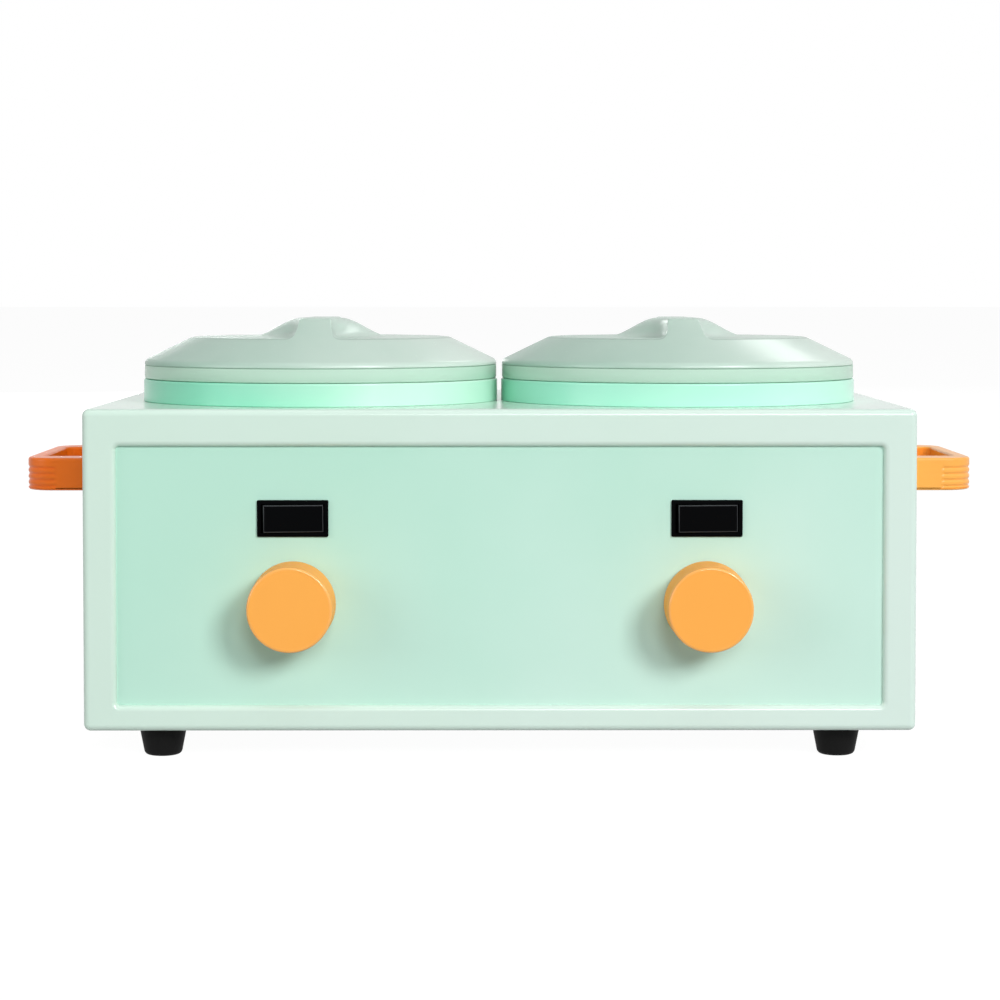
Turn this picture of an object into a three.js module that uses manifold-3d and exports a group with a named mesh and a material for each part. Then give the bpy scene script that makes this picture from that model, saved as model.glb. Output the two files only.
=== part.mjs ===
// Double sugaring warmer: two heated wells with lift-out pots and frosted lids in one moulded case.
// Millimetres. X runs to the right, Y into the object from the front, Z up from the table.

import * as THREE from 'three';
import { mergeVertices } from 'three/addons/utils/BufferGeometryUtils.js';
import { RoundedBoxGeometry } from 'three/addons/geometries/RoundedBoxGeometry.js';
import Module from 'manifold-3d';

// Fits that the whole assembly shares
const seat = 0.2; // gap under a face that rests on another
const slip = 0.3; // room all round a piece that passes through a hole
const overrun = 1; // how far a cutting shape runs past what it cuts

// How finely round things are faceted
const ringSides = 40;
const cupSides = 24;
const knobSides = 32;
const footSides = 16;
const screwSides = 10;
const cornerSteps = 3;
const coarseSteps = 2;

// Collars on the deck, one round each well
const collarRadius = 82;
const collarHeight = 10.1;
const collarRimWidth = 5.7;
const collarLedgeDepth = 6; // from the collar's top down to the ledge that carries the well
const collarLedgeWidth = 6;
const collarSpigotWall = 3.6;
const collarSpigotLength = 6; // below the deck's upper face
const collarEdge = 0.8;

// Lids
const lidInset = 0.4; // how far the lid's skirt stands inside the collar's outside
const lidSkirtHeight = 6.6;
const lidShoulderRadius = 2.8;
const lidSlopeShare = 0.485; // rise of the cone for each millimetre inwards
const lidFlatHeight = 19.1; // of the two scooped flats over the skirt's foot
const lidRidgeHeight = 27.9; // of the pinch ridge over the skirt's foot
const lidRidgeTopWidth = 16; // across the middle of the ridge
const lidRidgeFootWidth = 66;
const lidRidgeEndTopWidth = 14; // across its steep ends
const lidRidgeEndWidth = 27;
const lidRidgeBend = 9.2; // how far the middle flank's curve leads on at its top and at its foot
const lidRidgeBlend = 46; // from the middle of the ridge to its steep ends
const lidRidgeRows = 3; // of flank sections from the middle to each end
const lidRidgeSteps = 5;
const lidEndLeanShare = 0.1; // lean of the steep flank, of its height
const lidEndFootShare = 0.35; // height at which the steep flank begins to turn out, of its height
const lidWall = 2;
const lidRimWall = 2;
const lidRimDepth = 2.9; // of the locating rim below the skirt's foot

// Case
const lidGap = 1.8; // between the two collars
const deckSideMargin = 15.1;
const deckFrontMargin = 15.2;
const deckRearMargin = 42.8;
const caseHeight = 139.4;
const caseEdgeRadius = 3;
const caseEdgeSteps = 2;
const caseWall = 3;
const frontWall = 2.4;
const frameSideWidth = 14.4;
const frameTopWidth = 16.2;
const frameBottomWidth = 11.2;
const frameCornerRadius = 1.5;
const frameLipRadius = 2.2;

// Front panel
const panelThickness = 3;
const panelOverlap = 6; // behind the frame, all round

// Base plate
const plateThickness = 2;
const plateRecess = 1; // above the case's lower edge
const ventLength = 44;
const ventWidth = 4;
const ventPitch = 14;
const ventCount = 5;

// Feet and the screws that hold them
const footHeight = 13;
const footTopRadius = 10.8;
const footBottomRadius = 8.4;
const footEdge = 2;
const footSideInset = 32.2;
const footEndInset = 20;
const footScrewRadius = 1.5;
const footScrewHeadRadius = 2.9;
const footScrewHeadHeight = 2;
const footScrewReach = 12; // into the case's post
const footScrewSink = 4; // how far the head sits up inside the foot
const postRadius = 5;

// Pots and the wells that they stand in
const collarRoom = 2.4; // between the collar's bore and the well
const potDepth = 95;
const potWall = 1.2;
const potFloorRadius = 8;
const wellRoom = 1; // between the pot's side and the well
const wellFloorRoom = 0.5;
const wellWall = 1.5;

// Band heaters
const bandHeight = 40;
const bandThickness = 3;
const bandLift = 6; // above the underside of the well
const bandSplit = 8; // width of the gap between the band's two ends
const bandLugLength = 6;
const bandSteps = 24;

// Thermal cut-outs under the wells
const cutoutRadius = 8;
const cutoutHeight = 5;
const cutoutFlangeRadius = 11;
const cutoutFlangeHeight = 1;
const cutoutTabWidth = 6;
const cutoutTabHeight = 0.8;
const cutoutTabLength = 9;

// Heat knobs
const controlOffset = 89.4; // of the knobs and switches, from the middle of the panel
const knobHeight = 68; // over the table
const knobFaceRadius = 18.2;
const knobBackRadius = 18.6;
const knobLength = 22.5;
const knobGap = 0.6; // between the knob and the panel
const knobEdge = 1.1;
const knobWall = 2.4;
const knobFaceWall = 3;
const knobHubRadius = 5.6;
const knobHubLength = 13;

// Thermostats
const thermostatWidth = 30;
const thermostatDepth = 12;
const thermostatEdge = 2;
const bushRadius = 4.8;
const bushReach = 6; // in front of the panel
const shaftRadius = 3;
const shaftFlat = 2.2; // from the shaft's axis to its flat
const shaftReach = 17; // in front of the panel
const shaftSink = 8; // into the thermostat
const nutAcrossFlats = 14;
const nutHeight = 2.5;
const thermostatTabWidth = 6.3;
const thermostatTabHeight = 0.8;
const thermostatTabLength = 5;

// Rocker switches
const switchHeight = 105.1; // over the table
const bezelWidth = 30.8;
const bezelHeight = 15.9;
const bezelReach = 1.2; // in front of the panel
const bezelEdge = 0.6;
const switchBodyWidth = 29.2;
const switchBodyHeight = 14.2;
const switchBodyDepth = 14.5; // behind the panel's face
const switchTabWidth = 4.8;
const switchTabThickness = 0.8;
const switchTabLength = 5;
const switchTabPitch = 9;
const rockerLength = 26;
const rockerWidth = 11.8;
const rockerRoom = 0.65; // at each end, where the rocker swings
const rockerFloorDepth = 9.5; // of the rocker's pocket, behind the bezel's face
const rockerPivotDepth = 2.6; // behind the bezel's face
const rockerFaceReach = 1.4; // of the middle of the rocker's face over the bezel's face
const rockerSkirtShare = 0.62; // length of the rocker's underside, of its face
const rockerBodyDepth = 6.4; // of the rocker below its pivot's level, worked from its face
const rockerTurn = 6; // degrees that the rocker leans at rest
const pinRadius = 0.9;
const pinReach = 0.8;

// Handles
const handleLength = 101.5;
const handleReach = 35.4;
const handleHeight = 14.8;
const handleDrop = 32.3; // from the deck to the middle of the handle
const handleCornerRadius = 13.3;
const handleGripThickness = 6.2;
const handleArmThickness = 16.5;
const handleFootLength = 26;
const handleInnerRadius = 4;
const handleEdge = 1.2;
const handleCornerSteps = 4;
const grooveCount = 4;
const groovePitch = 2.75;
const grooveDrop = 1.4; // of the four together, below the middle of the handle
const grooveHalfHeight = 1;
const grooveDepth = 0.5;
const grooveStart = 20.2; // from the case's side to where the grooves begin
const handleScrewRadius = 1.8;
const handleScrewHeadRadius = 3.4;
const handleScrewHeadHeight = 2.2;
const handleScrewReach = 14; // into the handle's arm

// Mains inlet
const inletHeight = 45; // over the table
const inletFlangeWidth = 31;
const inletFlangeHeight = 24;
const inletFlangeThickness = 2.5;
const inletFlangeRadius = 3;
const inletBodyWidth = 27;
const inletBodyHeight = 19.8;
const inletBodyDepth = 20;
const inletWall = 1.6;
const inletSocketDepth = 17;
const inletBevel = 5; // of the socket's two upper corners
const bladeWidth = 4;
const bladeThickness = 2;
const bladePitch = 14;
const bladeDrop = 2;
const earthRise = 2;
const bladeReach = 14; // into the socket
const bladeTail = 6; // behind the inlet, for its lead
const bladeRoom = 0.15;

// Terminal block on the base plate
const blockWidth = 38;
const blockDepth = 20;
const blockHeight = 9;
const blockWayCount = 3;
const blockRibHeight = 5;
const blockRibThickness = 2;
const blockSetback = 176; // behind the front of the case

// Internal leads
const leadRadius = 1.25;
const leadSides = 6;
const leadBend = 6; // how far before a corner of its route a lead begins to turn
const leadBendShare = 0.45; // the most of a short run that one bend may take
const leadBendSteps = 2;
const leadPairing = 2; // of each of two leads in one way, from the way's middle
const leadTurn = 5; // behind the inlet's blades, where the mains leads turn down
const leadHang = 10; // below a thermostat's tabs, where a lead turns
const leadDetour = 9; // past the tips of a cut-out's tabs
const leadSlant = 24; // behind the thermostat's tabs, where its lead has moved out to the detour
const leadSag = 12; // of a heater's lead below the cut-out's tabs
const leadGather = 22; // in front of a heater's lugs, where its lead turns in to them
const leadLane = 11; // in front of the terminal block, where the return leads cross
const leadLaneStep = 7; // further forward for the one that comes from the other side
const leadLaneRise = 9; // and how far it climbs over the supply leads

// Sizes that follow from those above
const potOffset = lidGap / 2 + collarRadius;
const potSetback = deckFrontMargin + collarRadius;
const caseWidth = 2 * (potOffset + collarRadius + deckSideMargin);
const caseDepth = potSetback + collarRadius + deckRearMargin;
const caseBottom = footHeight;
const deckHeight = caseBottom + caseHeight;
const collarTop = deckHeight + seat + collarHeight;
const collarBore = collarRadius - collarRimWidth;
const spigotBore = collarBore - collarLedgeWidth;
const spigotRadius = spigotBore + collarSpigotWall;
const ledgeHeight = collarTop - collarLedgeDepth;
const wellFlangeFoot = ledgeHeight + seat;
const potFlangeFoot = wellFlangeFoot + wellWall + seat;
const flangeRadius = collarBore - slip;
const potFoot = potFlangeFoot - potDepth;
const wellFloor = potFoot - wellFloorRoom;
const wellFoot = wellFloor - wellWall;
const wellRadius = spigotBore - collarRoom;
const potRadius = wellRadius - wellWall - wellRoom;
const lidRadius = collarRadius - lidInset;
const lidFoot = collarTop + seat;
const plateFoot = caseBottom + plateRecess;
const plateTop = plateFoot + plateThickness;
const panelFace = frontWall + seat;
const frameWidth = caseWidth - 2 * frameSideWidth;
const frameHeight = caseHeight - frameTopWidth - frameBottomWidth;
const frameMiddle = caseBottom + frameBottomWidth + frameHeight / 2;
const footOffset = caseWidth / 2 - footSideInset;
const footScrewHoleRadius = footScrewRadius + slip;
const footCounterboreRadius = footScrewHeadRadius + slip;
const handleMiddle = deckHeight - handleDrop;
const handleArmMiddle = handleLength / 2 - handleFootLength / 2;
const bandBore = (wellRadius + slip) / Math.cos(Math.PI / bandSteps);
const outwards = [
  ['left', -1],
  ['right', 1],
];

// Finishes
function finish(colour, roughness, metalness = 0) {
  return new THREE.MeshStandardMaterial({ color: colour, roughness, metalness });
}
const caseFinish = () => finish('#dcece3', 0.3);
const panelFinish = () => finish('#bfe6d6', 0.4);
const collarFinish = () => finish('#a9efd0', 0.35);
const lidFinish = () => finish('#c3d9cd', 0.5);
const knobFinish = () => finish('#fdb25a', 0.45);
const blackPlastic = () => finish('#0c0e10', 0.35);
const rubber = () => finish('#1c1c1c', 0.8);
const aluminium = () => finish('#c9ccd0', 0.4, 1);
const plated = () => finish('#b4b6ba', 0.35, 1);
const mica = () => finish('#8d8f92', 0.5, 1);
const ceramic = () => finish('#e6e1d6', 0.7);
const bakelite = () => finish('#2a2420', 0.6);
const brownLead = () => finish('#5a3a26', 0.5);
const blueLead = () => finish('#2f6fb0', 0.5);
const greenLead = () => finish('#5f9a3a', 0.5);

// Joining and cutting
const wasm = await Module();
wasm.setup();

function solid(geometry) {
  const bare = new THREE.BufferGeometry();
  bare.setAttribute('position', geometry.getAttribute('position').clone());
  if (geometry.index) {
    bare.setIndex(geometry.index.clone());
  }
  const merged = mergeVertices(bare);
  const place = merged.getAttribute('position');
  const corners = merged.index.array;
  const kept = [];
  let volume = 0;
  const [a, b, c] = [new THREE.Vector3(), new THREE.Vector3(), new THREE.Vector3()];
  for (let i = 0; i < corners.length; i += 3) {
    const [p, q, r] = [corners[i], corners[i + 1], corners[i + 2]];
    if (p === q || q === r || r === p) {
      continue;
    }
    kept.push(p, q, r);
    a.fromBufferAttribute(place, p);
    b.fromBufferAttribute(place, q);
    c.fromBufferAttribute(place, r);
    volume += a.dot(b.cross(c));
  }
  if (volume < 0) {
    kept.reverse();
  }
  return new wasm.Manifold(new wasm.Mesh({
    numProp: 3,
    vertProperties: new Float32Array(place.array),
    triVerts: new Uint32Array(kept),
  }));
}

function geometryOf(body) {
  const { vertProperties, triVerts } = body.getMesh();
  const geometry = new THREE.BufferGeometry();
  geometry.setAttribute('position', new THREE.BufferAttribute(vertProperties, 3));
  geometry.setIndex(new THREE.BufferAttribute(triVerts, 1));
  return geometry;
}

function join(first, ...others) {
  return others.reduce((whole, piece) => whole.add(piece), first);
}

function cut(first, ...tools) {
  return tools.reduce((whole, tool) => whole.subtract(tool), first);
}

// Outlines, as lists of [x, y]
function arc(x, y, radius, from, to, steps) {
  const points = [];
  for (let step = 0; step <= steps; step += 1) {
    const angle = from + (to - from) * step / steps;
    points.push([x + radius * Math.cos(angle), y + radius * Math.sin(angle)]);
  }
  return points;
}

function roundedRectangle(width, height, radius, steps = cornerSteps) {
  const x = width / 2 - radius;
  const y = height / 2 - radius;
  const quarter = Math.PI / 2;
  return [
    ...arc(x, -y, radius, -quarter, 0, steps),
    ...arc(x, y, radius, 0, quarter, steps),
    ...arc(-x, y, radius, quarter, 2 * quarter, steps),
    ...arc(-x, -y, radius, 2 * quarter, 3 * quarter, steps),
  ];
}

function rectangle(width, height) {
  const [x, y] = [width / 2, height / 2];
  return [[x, -y], [x, y], [-x, y], [-x, -y]];
}

function moved(points, dx, dy) {
  return points.map(([x, y]) => [x + dx, y + dy]);
}

// A prism stands on z = foot; a revolved form turns round Z; a skin runs through a row of convex outlines
function prism(outline, height, foot = 0, bevel = 0) {
  const shape = new THREE.Shape(outline.map(([x, y]) => new THREE.Vector2(x, y)));
  const geometry = new THREE.ExtrudeGeometry(shape, {
    depth: height - 2 * bevel,
    bevelEnabled: bevel > 0,
    bevelThickness: bevel,
    bevelSize: bevel,
    bevelOffset: -bevel,
    bevelSegments: 2,
  });
  geometry.translate(0, 0, foot + bevel);
  return solid(geometry);
}

function revolved(profile, sides) {
  const points = [...profile, profile[0]].map(([radius, height]) => new THREE.Vector2(radius, height));
  const geometry = new THREE.LatheGeometry(points, sides);
  geometry.rotateX(Math.PI / 2);
  return solid(geometry);
}

function rod(radius, length, foot, sides) {
  return revolved([[0, foot], [radius, foot], [radius, foot + length], [0, foot + length]], sides);
}

function skin(outlines) {
  const count = outlines[0].length;
  const corners = [];
  for (let row = 0; row + 1 < outlines.length; row += 1) {
    for (let i = 0; i < count; i += 1) {
      const [here, next] = [row * count + i, row * count + (i + 1) % count];
      corners.push(here, next, next + count, here, next + count, here + count);
    }
  }
  const last = (outlines.length - 1) * count;
  for (let i = 1; i + 1 < count; i += 1) {
    corners.push(0, i + 1, i, last, last + i, last + i + 1);
  }
  const geometry = new THREE.BufferGeometry();
  geometry.setAttribute('position', new THREE.Float32BufferAttribute(outlines.flat(2), 3));
  geometry.setIndex(corners);
  return solid(geometry);
}

// The finished object and the groups that its pieces are placed in
const warmer = new THREE.Group();

function place(parent, name, body, material, position = [0, 0, 0]) {
  const mesh = new THREE.Mesh(geometryOf(body), material);
  mesh.name = name;
  mesh.position.set(...position);
  parent.add(mesh);
  return mesh;
}

// Faces the front: x to the right, y up and z towards the user, from the panel's face
const front = new THREE.Group();
front.rotation.x = Math.PI / 2;
front.position.y = panelFace;
warmer.add(front);

// Case: one moulded shell, open below, with a hole for each well and a framed opening in front
function frameOpening() {
  const rings = [];
  const steps = cornerSteps;
  for (let step = 0; step <= steps; step += 1) {
    const angle = (Math.PI / 2) * step / steps;
    const flare = frameLipRadius * (1 - Math.sin(angle));
    const depth = frameLipRadius * (1 - Math.cos(angle));
    rings.push([flare, depth]);
  }
  rings.unshift([rings[0][0], -overrun]);
  rings.push([0, frontWall + overrun]);
  return skin(rings.map(([flare, depth]) => {
    const outline = roundedRectangle(
      frameWidth + 2 * flare, frameHeight + 2 * flare, frameCornerRadius + flare,
    );
    return outline.map(([x, z]) => [x, depth, z + frameMiddle]);
  }));
}

function screwPosts() {
  const foot = plateTop + seat;
  const height = deckHeight - caseWall + overrun - foot;
  return footPlaces().map(([, x, y]) => rod(postRadius, height, foot, screwSides).translate(x, y, 0));
}

function footPlaces() {
  const places = [];
  for (const [end, y] of [['front', footEndInset], ['back', caseDepth - footEndInset]]) {
    for (const [side, sign] of outwards) {
      places.push([`${end}_${side}`, sign * footOffset, y]);
    }
  }
  return places;
}

function caseShell() {
  const outside = solid(
    new RoundedBoxGeometry(caseWidth, caseDepth, caseHeight, caseEdgeSteps, caseEdgeRadius)
      .translate(0, caseDepth / 2, caseBottom + caseHeight / 2),
  );
  const innerDepth = caseDepth - frontWall - caseWall;
  const inside = prism(
    roundedRectangle(caseWidth - 2 * caseWall, innerDepth, caseWall),
    caseHeight - caseWall + overrun,
    caseBottom - overrun,
  ).translate(0, frontWall + innerDepth / 2, 0);
  const wellHoles = outwards.map(([, sign]) =>
    rod(spigotRadius + slip, caseWall + 2 * overrun, deckHeight - caseWall - overrun, ringSides)
      .translate(sign * potOffset, potSetback, 0));
  const inletHole = prism(
    rectangle(inletBodyWidth + 2 * slip, inletBodyHeight + 2 * slip), caseWall + 2 * overrun, -overrun,
  ).rotate([90, 0, 0]).translate(0, caseDepth, inletHeight);
  const screwHoles = [];
  for (const [, sign] of outwards) {
    for (const end of [-1, 1]) {
      screwHoles.push(
        rod(handleScrewRadius + slip, caseWall + 2 * overrun, -caseWall - overrun, screwSides)
          .rotate([0, 90 * sign, 0])
          .translate(sign * caseWidth / 2, caseDepth / 2 + end * handleArmMiddle, handleMiddle),
      );
    }
  }
  const pilotHoles = footPlaces().map(([, x, y]) =>
    rod(footScrewHoleRadius, footScrewReach + plateThickness + overrun, plateFoot, screwSides)
      .translate(x, y, 0));
  const shell = cut(outside, inside, frameOpening(), ...wellHoles, inletHole, ...screwHoles);
  return cut(join(shell, ...screwPosts()), ...pilotHoles);
}
place(warmer, 'housing', caseShell(), caseFinish());

// Front panel: a flat plate behind the frame, pierced for the switches and the thermostats' bushes
function panelPlate() {
  const plate = prism(
    roundedRectangle(frameWidth + 2 * panelOverlap, frameHeight + 2 * panelOverlap, panelOverlap),
    panelThickness,
    -panelThickness,
  ).translate(0, frameMiddle, 0);
  const holes = [];
  for (const [, sign] of outwards) {
    const x = sign * controlOffset;
    holes.push(
      rod(bushRadius + slip, panelThickness + 2 * overrun, -panelThickness - overrun, screwSides)
        .translate(x, knobHeight, 0),
      prism(
        rectangle(switchBodyWidth + slip, switchBodyHeight + slip),
        panelThickness + 2 * overrun,
        -panelThickness - overrun,
      ).translate(x, switchHeight, 0),
    );
  }
  return cut(plate, ...holes);
}
place(front, 'front_panel', panelPlate(), panelFinish());

// Base plate: closes the case from below, with a row of vents under each well
function basePlate() {
  const depth = caseDepth - frontWall - caseWall - 2 * slip;
  const plate = prism(
    roundedRectangle(caseWidth - 2 * caseWall - 2 * slip, depth, caseWall - slip),
    plateThickness,
  ).translate(0, frontWall + slip + depth / 2, 0);
  const holes = footPlaces().map(([, x, y]) =>
    rod(footScrewHoleRadius, plateThickness + 2 * overrun, -overrun, screwSides).translate(x, y, 0));
  for (const [, sign] of outwards) {
    for (let i = 0; i < ventCount; i += 1) {
      const y = potSetback + (i - (ventCount - 1) / 2) * ventPitch;
      const slot = roundedRectangle(ventLength, ventWidth, ventWidth / 2, 1);
      holes.push(
        prism(slot, plateThickness + 2 * overrun, -overrun).translate(sign * potOffset, y, 0),
      );
    }
  }
  return cut(plate, ...holes);
}
place(warmer, 'base_plate', basePlate(), caseFinish(), [0, 0, plateFoot]);

// Feet: tapered rubber, counterbored from below for a pan-head screw
function foot() {
  const top = plateFoot - seat;
  const halfTurn = Math.PI / 2;
  return revolved([
    [footScrewHoleRadius, top],
    [footScrewHoleRadius, footScrewSink + footScrewHeadHeight + seat],
    [footCounterboreRadius, footScrewSink + footScrewHeadHeight + seat],
    [footCounterboreRadius, 0],
    ...arc(footBottomRadius - footEdge, footEdge, footEdge, -halfTurn, 0, coarseSteps),
    [footTopRadius, top],
  ], footSides);
}

function footScrew() {
  const tip = plateTop + footScrewReach - overrun;
  const shoulder = footScrewSink + footScrewHeadHeight;
  return revolved([
    [0, footScrewSink],
    [footScrewHeadRadius - collarEdge, footScrewSink],
    [footScrewHeadRadius, footScrewSink + collarEdge],
    [footScrewHeadRadius, shoulder],
    [footScrewRadius, shoulder],
    [footScrewRadius, tip - footScrewRadius],
    [0, tip],
  ], screwSides);
}
for (const [name, x, y] of footPlaces()) {
  place(warmer, `foot_${name}`, foot(), rubber(), [x, y, 0]);
  place(warmer, `foot_screw_${name}`, footScrew(), plated(), [x, y, 0]);
}

// Collars: a rim that stands on the deck, a ledge inside it and a spigot down through the deck
function collar() {
  const outerFoot = deckHeight + seat;
  const spigotFoot = deckHeight - collarSpigotLength;
  return revolved([
    [spigotRadius, outerFoot],
    [collarRadius - collarEdge, outerFoot],
    [collarRadius, outerFoot + collarEdge],
    [collarRadius, collarTop - collarEdge],
    [collarRadius - collarEdge, collarTop],
    [collarBore, collarTop],
    [collarBore, ledgeHeight],
    [spigotBore, ledgeHeight],
    [spigotBore, spigotFoot],
    [spigotRadius, spigotFoot],
  ], ringSides);
}

// Wells: drawn cups whose flange lies on the collar's ledge
function cup(radius, wall, footHeightOfCup, flangeFoot, floorRadius) {
  const top = flangeFoot + wall;
  const quarter = Math.PI / 2;
  const inner = radius - wall;
  return revolved([
    [0, footHeightOfCup],
    ...arc(radius - floorRadius, footHeightOfCup + floorRadius, floorRadius, -quarter, 0, coarseSteps),
    [radius, flangeFoot],
    [flangeRadius, flangeFoot],
    [flangeRadius, top],
    [inner, top],
    ...arc(
      radius - floorRadius, footHeightOfCup + floorRadius, floorRadius - wall, 0, -quarter, coarseSteps,
    ),
    [0, footHeightOfCup + wall],
  ], cupSides);
}

// Band heaters: a split ring clamped round the well, its two lugs turned out at the back
function heaterBand() {
  const inner = bandBore;
  const outer = inner + bandThickness;
  const half = Math.asin(bandSplit / 2 / inner);
  const quarter = Math.PI / 2;
  const ring = prism([
    ...arc(0, 0, outer, quarter + half, quarter + 2 * Math.PI - half, bandSteps),
    ...arc(0, 0, inner, quarter + 2 * Math.PI - half, quarter + half, bandSteps),
  ], bandHeight);
  const lugs = [-1, 1].map((side) => prism(
    moved(
      rectangle(bandThickness, bandLugLength + bandThickness),
      side * (bandSplit + bandThickness) / 2,
      inner + (bandLugLength + bandThickness) / 2,
    ),
    bandHeight,
  ));
  return join(ring, ...lugs);
}

// Thermal cut-outs: a disc thermostat with a flange against the well and two spade tabs
function thermalCutout() {
  const body = revolved([
    [0, -cutoutHeight],
    [cutoutRadius, -cutoutHeight],
    [cutoutRadius, -cutoutFlangeHeight],
    [cutoutFlangeRadius, -cutoutFlangeHeight],
    [cutoutFlangeRadius, 0],
    [0, 0],
  ], screwSides);
  const tabs = [-1, 1].map((side) => prism(
    moved(
      rectangle(cutoutTabLength, cutoutTabWidth),
      side * (cutoutRadius + cutoutTabLength / 2 - overrun),
      0,
    ),
    cutoutTabHeight,
    -cutoutHeight + cutoutTabHeight,
  ));
  return join(body, ...tabs);
}

// Lids: a shallow cone cut off level, with two scooped flats that leave a pinch ridge between them
function coneHeight(radius) {
  const shoulderX = lidRadius - lidShoulderRadius;
  const slopeAngle = Math.atan(lidSlopeShare);
  const touchRadius = shoulderX + lidShoulderRadius * Math.sin(slopeAngle);
  const touchHeight = lidSkirtHeight + lidShoulderRadius * Math.cos(slopeAngle);
  return touchHeight + (touchRadius - radius) * lidSlopeShare;
}

function coneRadius(height) {
  return lidRadius - (height - coneHeight(lidRadius)) / lidSlopeShare;
}

// A flank in section, as [x, z], from the ridge's top to the flat; middle is 1 at mid-length and 0 at the ends
function flank(middle, wall) {
  const mix = THREE.MathUtils.lerp;
  const rise = lidRidgeHeight - lidFlatHeight;
  const top = mix(lidRidgeEndTopWidth, lidRidgeTopWidth, middle) / 2;
  const foot = mix(lidRidgeEndWidth, lidRidgeFootWidth, middle) / 2;
  const endTurn = top + rise * lidEndLeanShare;
  return new THREE.CubicBezierCurve(
    new THREE.Vector2(top, lidRidgeHeight),
    new THREE.Vector2(
      mix(endTurn, top + lidRidgeBend, middle),
      mix(lidFlatHeight + rise * lidEndFootShare, lidRidgeHeight, middle),
    ),
    new THREE.Vector2(mix(endTurn, foot - lidRidgeBend, middle), lidFlatHeight),
    new THREE.Vector2(foot, lidFlatHeight),
  ).getPoints(lidRidgeSteps).map(({ x, y }) => [x - wall, y - wall]);
}

// The hollow under the ridge keeps the steep section all along
function scoop(side, wall) {
  const top = lidRidgeHeight + overrun;
  const rows = [[-lidRadius, 0]];
  for (let row = -lidRidgeRows; row <= lidRidgeRows && wall === 0; row += 1) {
    const share = row / lidRidgeRows;
    rows.push([share * lidRidgeBlend, Math.cos(share * Math.PI / 2) ** 2]);
  }
  rows.push([lidRadius, 0]);
  return skin(rows.map(([y, middle]) => {
    const section = flank(middle, wall);
    return [
      [lidRadius, top],
      [section[0][0], top],
      ...section,
      [lidRadius, lidFlatHeight - wall],
    ].map(([x, z]) => [side * x, y, z]);
  }));
}

function sculpted(wall) {
  const slopeAngle = Math.atan(lidSlopeShare);
  const radius = lidRadius - wall;
  const shoulder = wall > 0
    ? [[radius, coneHeight(radius) - wall]]
    : arc(
      lidRadius - lidShoulderRadius, lidSkirtHeight, lidShoulderRadius,
      0, Math.PI / 2 - slopeAngle, cornerSteps,
    );
  const top = lidRidgeHeight - wall;
  const form = revolved([
    [0, wall > 0 ? -overrun : 0],
    [radius, wall > 0 ? -overrun : 0],
    ...shoulder,
    [coneRadius(lidRidgeHeight), top],
    [0, top],
  ], ringSides);
  return cut(form, scoop(-1, wall), scoop(1, wall));
}

function lid() {
  const rimRadius = collarBore - slip;
  const rimTop = coneHeight(rimRadius) - lidWall / 2;
  const rim = revolved([
    [rimRadius - lidRimWall, -lidRimDepth],
    [rimRadius, -lidRimDepth],
    [rimRadius, rimTop],
    [rimRadius - lidRimWall, rimTop],
  ], ringSides);
  return join(cut(sculpted(0), sculpted(lidWall)), rim);
}

// Each well with what stands in it, on it and under it
for (const [side, sign] of outwards) {
  const well = new THREE.Group();
  well.position.set(sign * potOffset, potSetback, 0);
  warmer.add(well);
  place(well, `collar_${side}`, collar(), collarFinish());
  place(
    well, `well_${side}`,
    cup(wellRadius, wellWall, wellFoot, wellFlangeFoot, potFloorRadius + wellWall), aluminium(),
  );
  place(well, `heater_band_${side}`, heaterBand(), mica(), [0, 0, wellFoot + bandLift]);
  place(well, `thermal_cutout_${side}`, thermalCutout(), bakelite(), [0, 0, wellFoot - seat]);
  place(well, `pot_${side}`, cup(potRadius, potWall, potFoot, potFlangeFoot, potFloorRadius), aluminium());
  place(well, `lid_${side}`, lid(), lidFinish(), [0, 0, lidFoot]);
}

// Heat knobs: hollow mouldings with a hub bored to a D for the shaft
function shaftOutline(room) {
  const radius = shaftRadius + room;
  const half = Math.acos((shaftFlat + room) / radius);
  const top = Math.PI / 2;
  return arc(0, 0, radius, top + half, top + 2 * Math.PI - half, screwSides);
}

function knob() {
  const quarter = Math.PI / 2;
  const face = knobLength;
  const cavityTop = face - knobFaceWall;
  const body = revolved([
    [knobBackRadius - knobWall, 0],
    [knobBackRadius, 0],
    ...arc(knobFaceRadius - knobEdge, face - knobEdge, knobEdge, 0, quarter, cornerSteps),
    [0, face],
    [0, cavityTop - knobHubLength],
    [knobHubRadius, cavityTop - knobHubLength],
    [knobHubRadius, cavityTop],
    [knobFaceRadius - knobWall, cavityTop],
  ], knobSides);
  const boreTop = shaftReach - knobGap + seat;
  return cut(body, prism(shaftOutline(slip / 2), boreTop));
}

function knobShaft() {
  const round = rod(shaftRadius, shaftSink + knobGap, -shaftSink - panelThickness, knobSides / 2);
  const flatted = prism(
    shaftOutline(0), shaftReach + panelThickness - knobGap, -panelThickness + knobGap,
  );
  return join(round, flatted);
}

// Thermostats: a moulded body behind the panel, a threaded bush through it and two spade tabs
function thermostat() {
  const back = -panelThickness - seat - thermostatDepth;
  const body = prism(
    roundedRectangle(thermostatWidth, thermostatWidth, thermostatEdge), thermostatDepth, back,
  );
  const bush = rod(bushRadius, panelThickness + seat + bushReach + overrun, -panelThickness - seat - overrun,
    screwSides);
  const tabs = [-1, 1].map((side) => prism(
    moved(
      rectangle(thermostatTabWidth, thermostatTabLength + overrun),
      side * thermostatWidth / 4,
      -(thermostatWidth + thermostatTabLength - overrun) / 2,
    ),
    thermostatTabHeight,
    back + thermostatTabHeight,
  ));
  const boreFoot = -panelThickness - shaftSink - seat;
  const bore = rod(shaftRadius + slip / 2, bushReach - boreFoot + overrun * 2, boreFoot, knobSides / 2);
  return cut(join(body, bush, ...tabs), bore);
}

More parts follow.
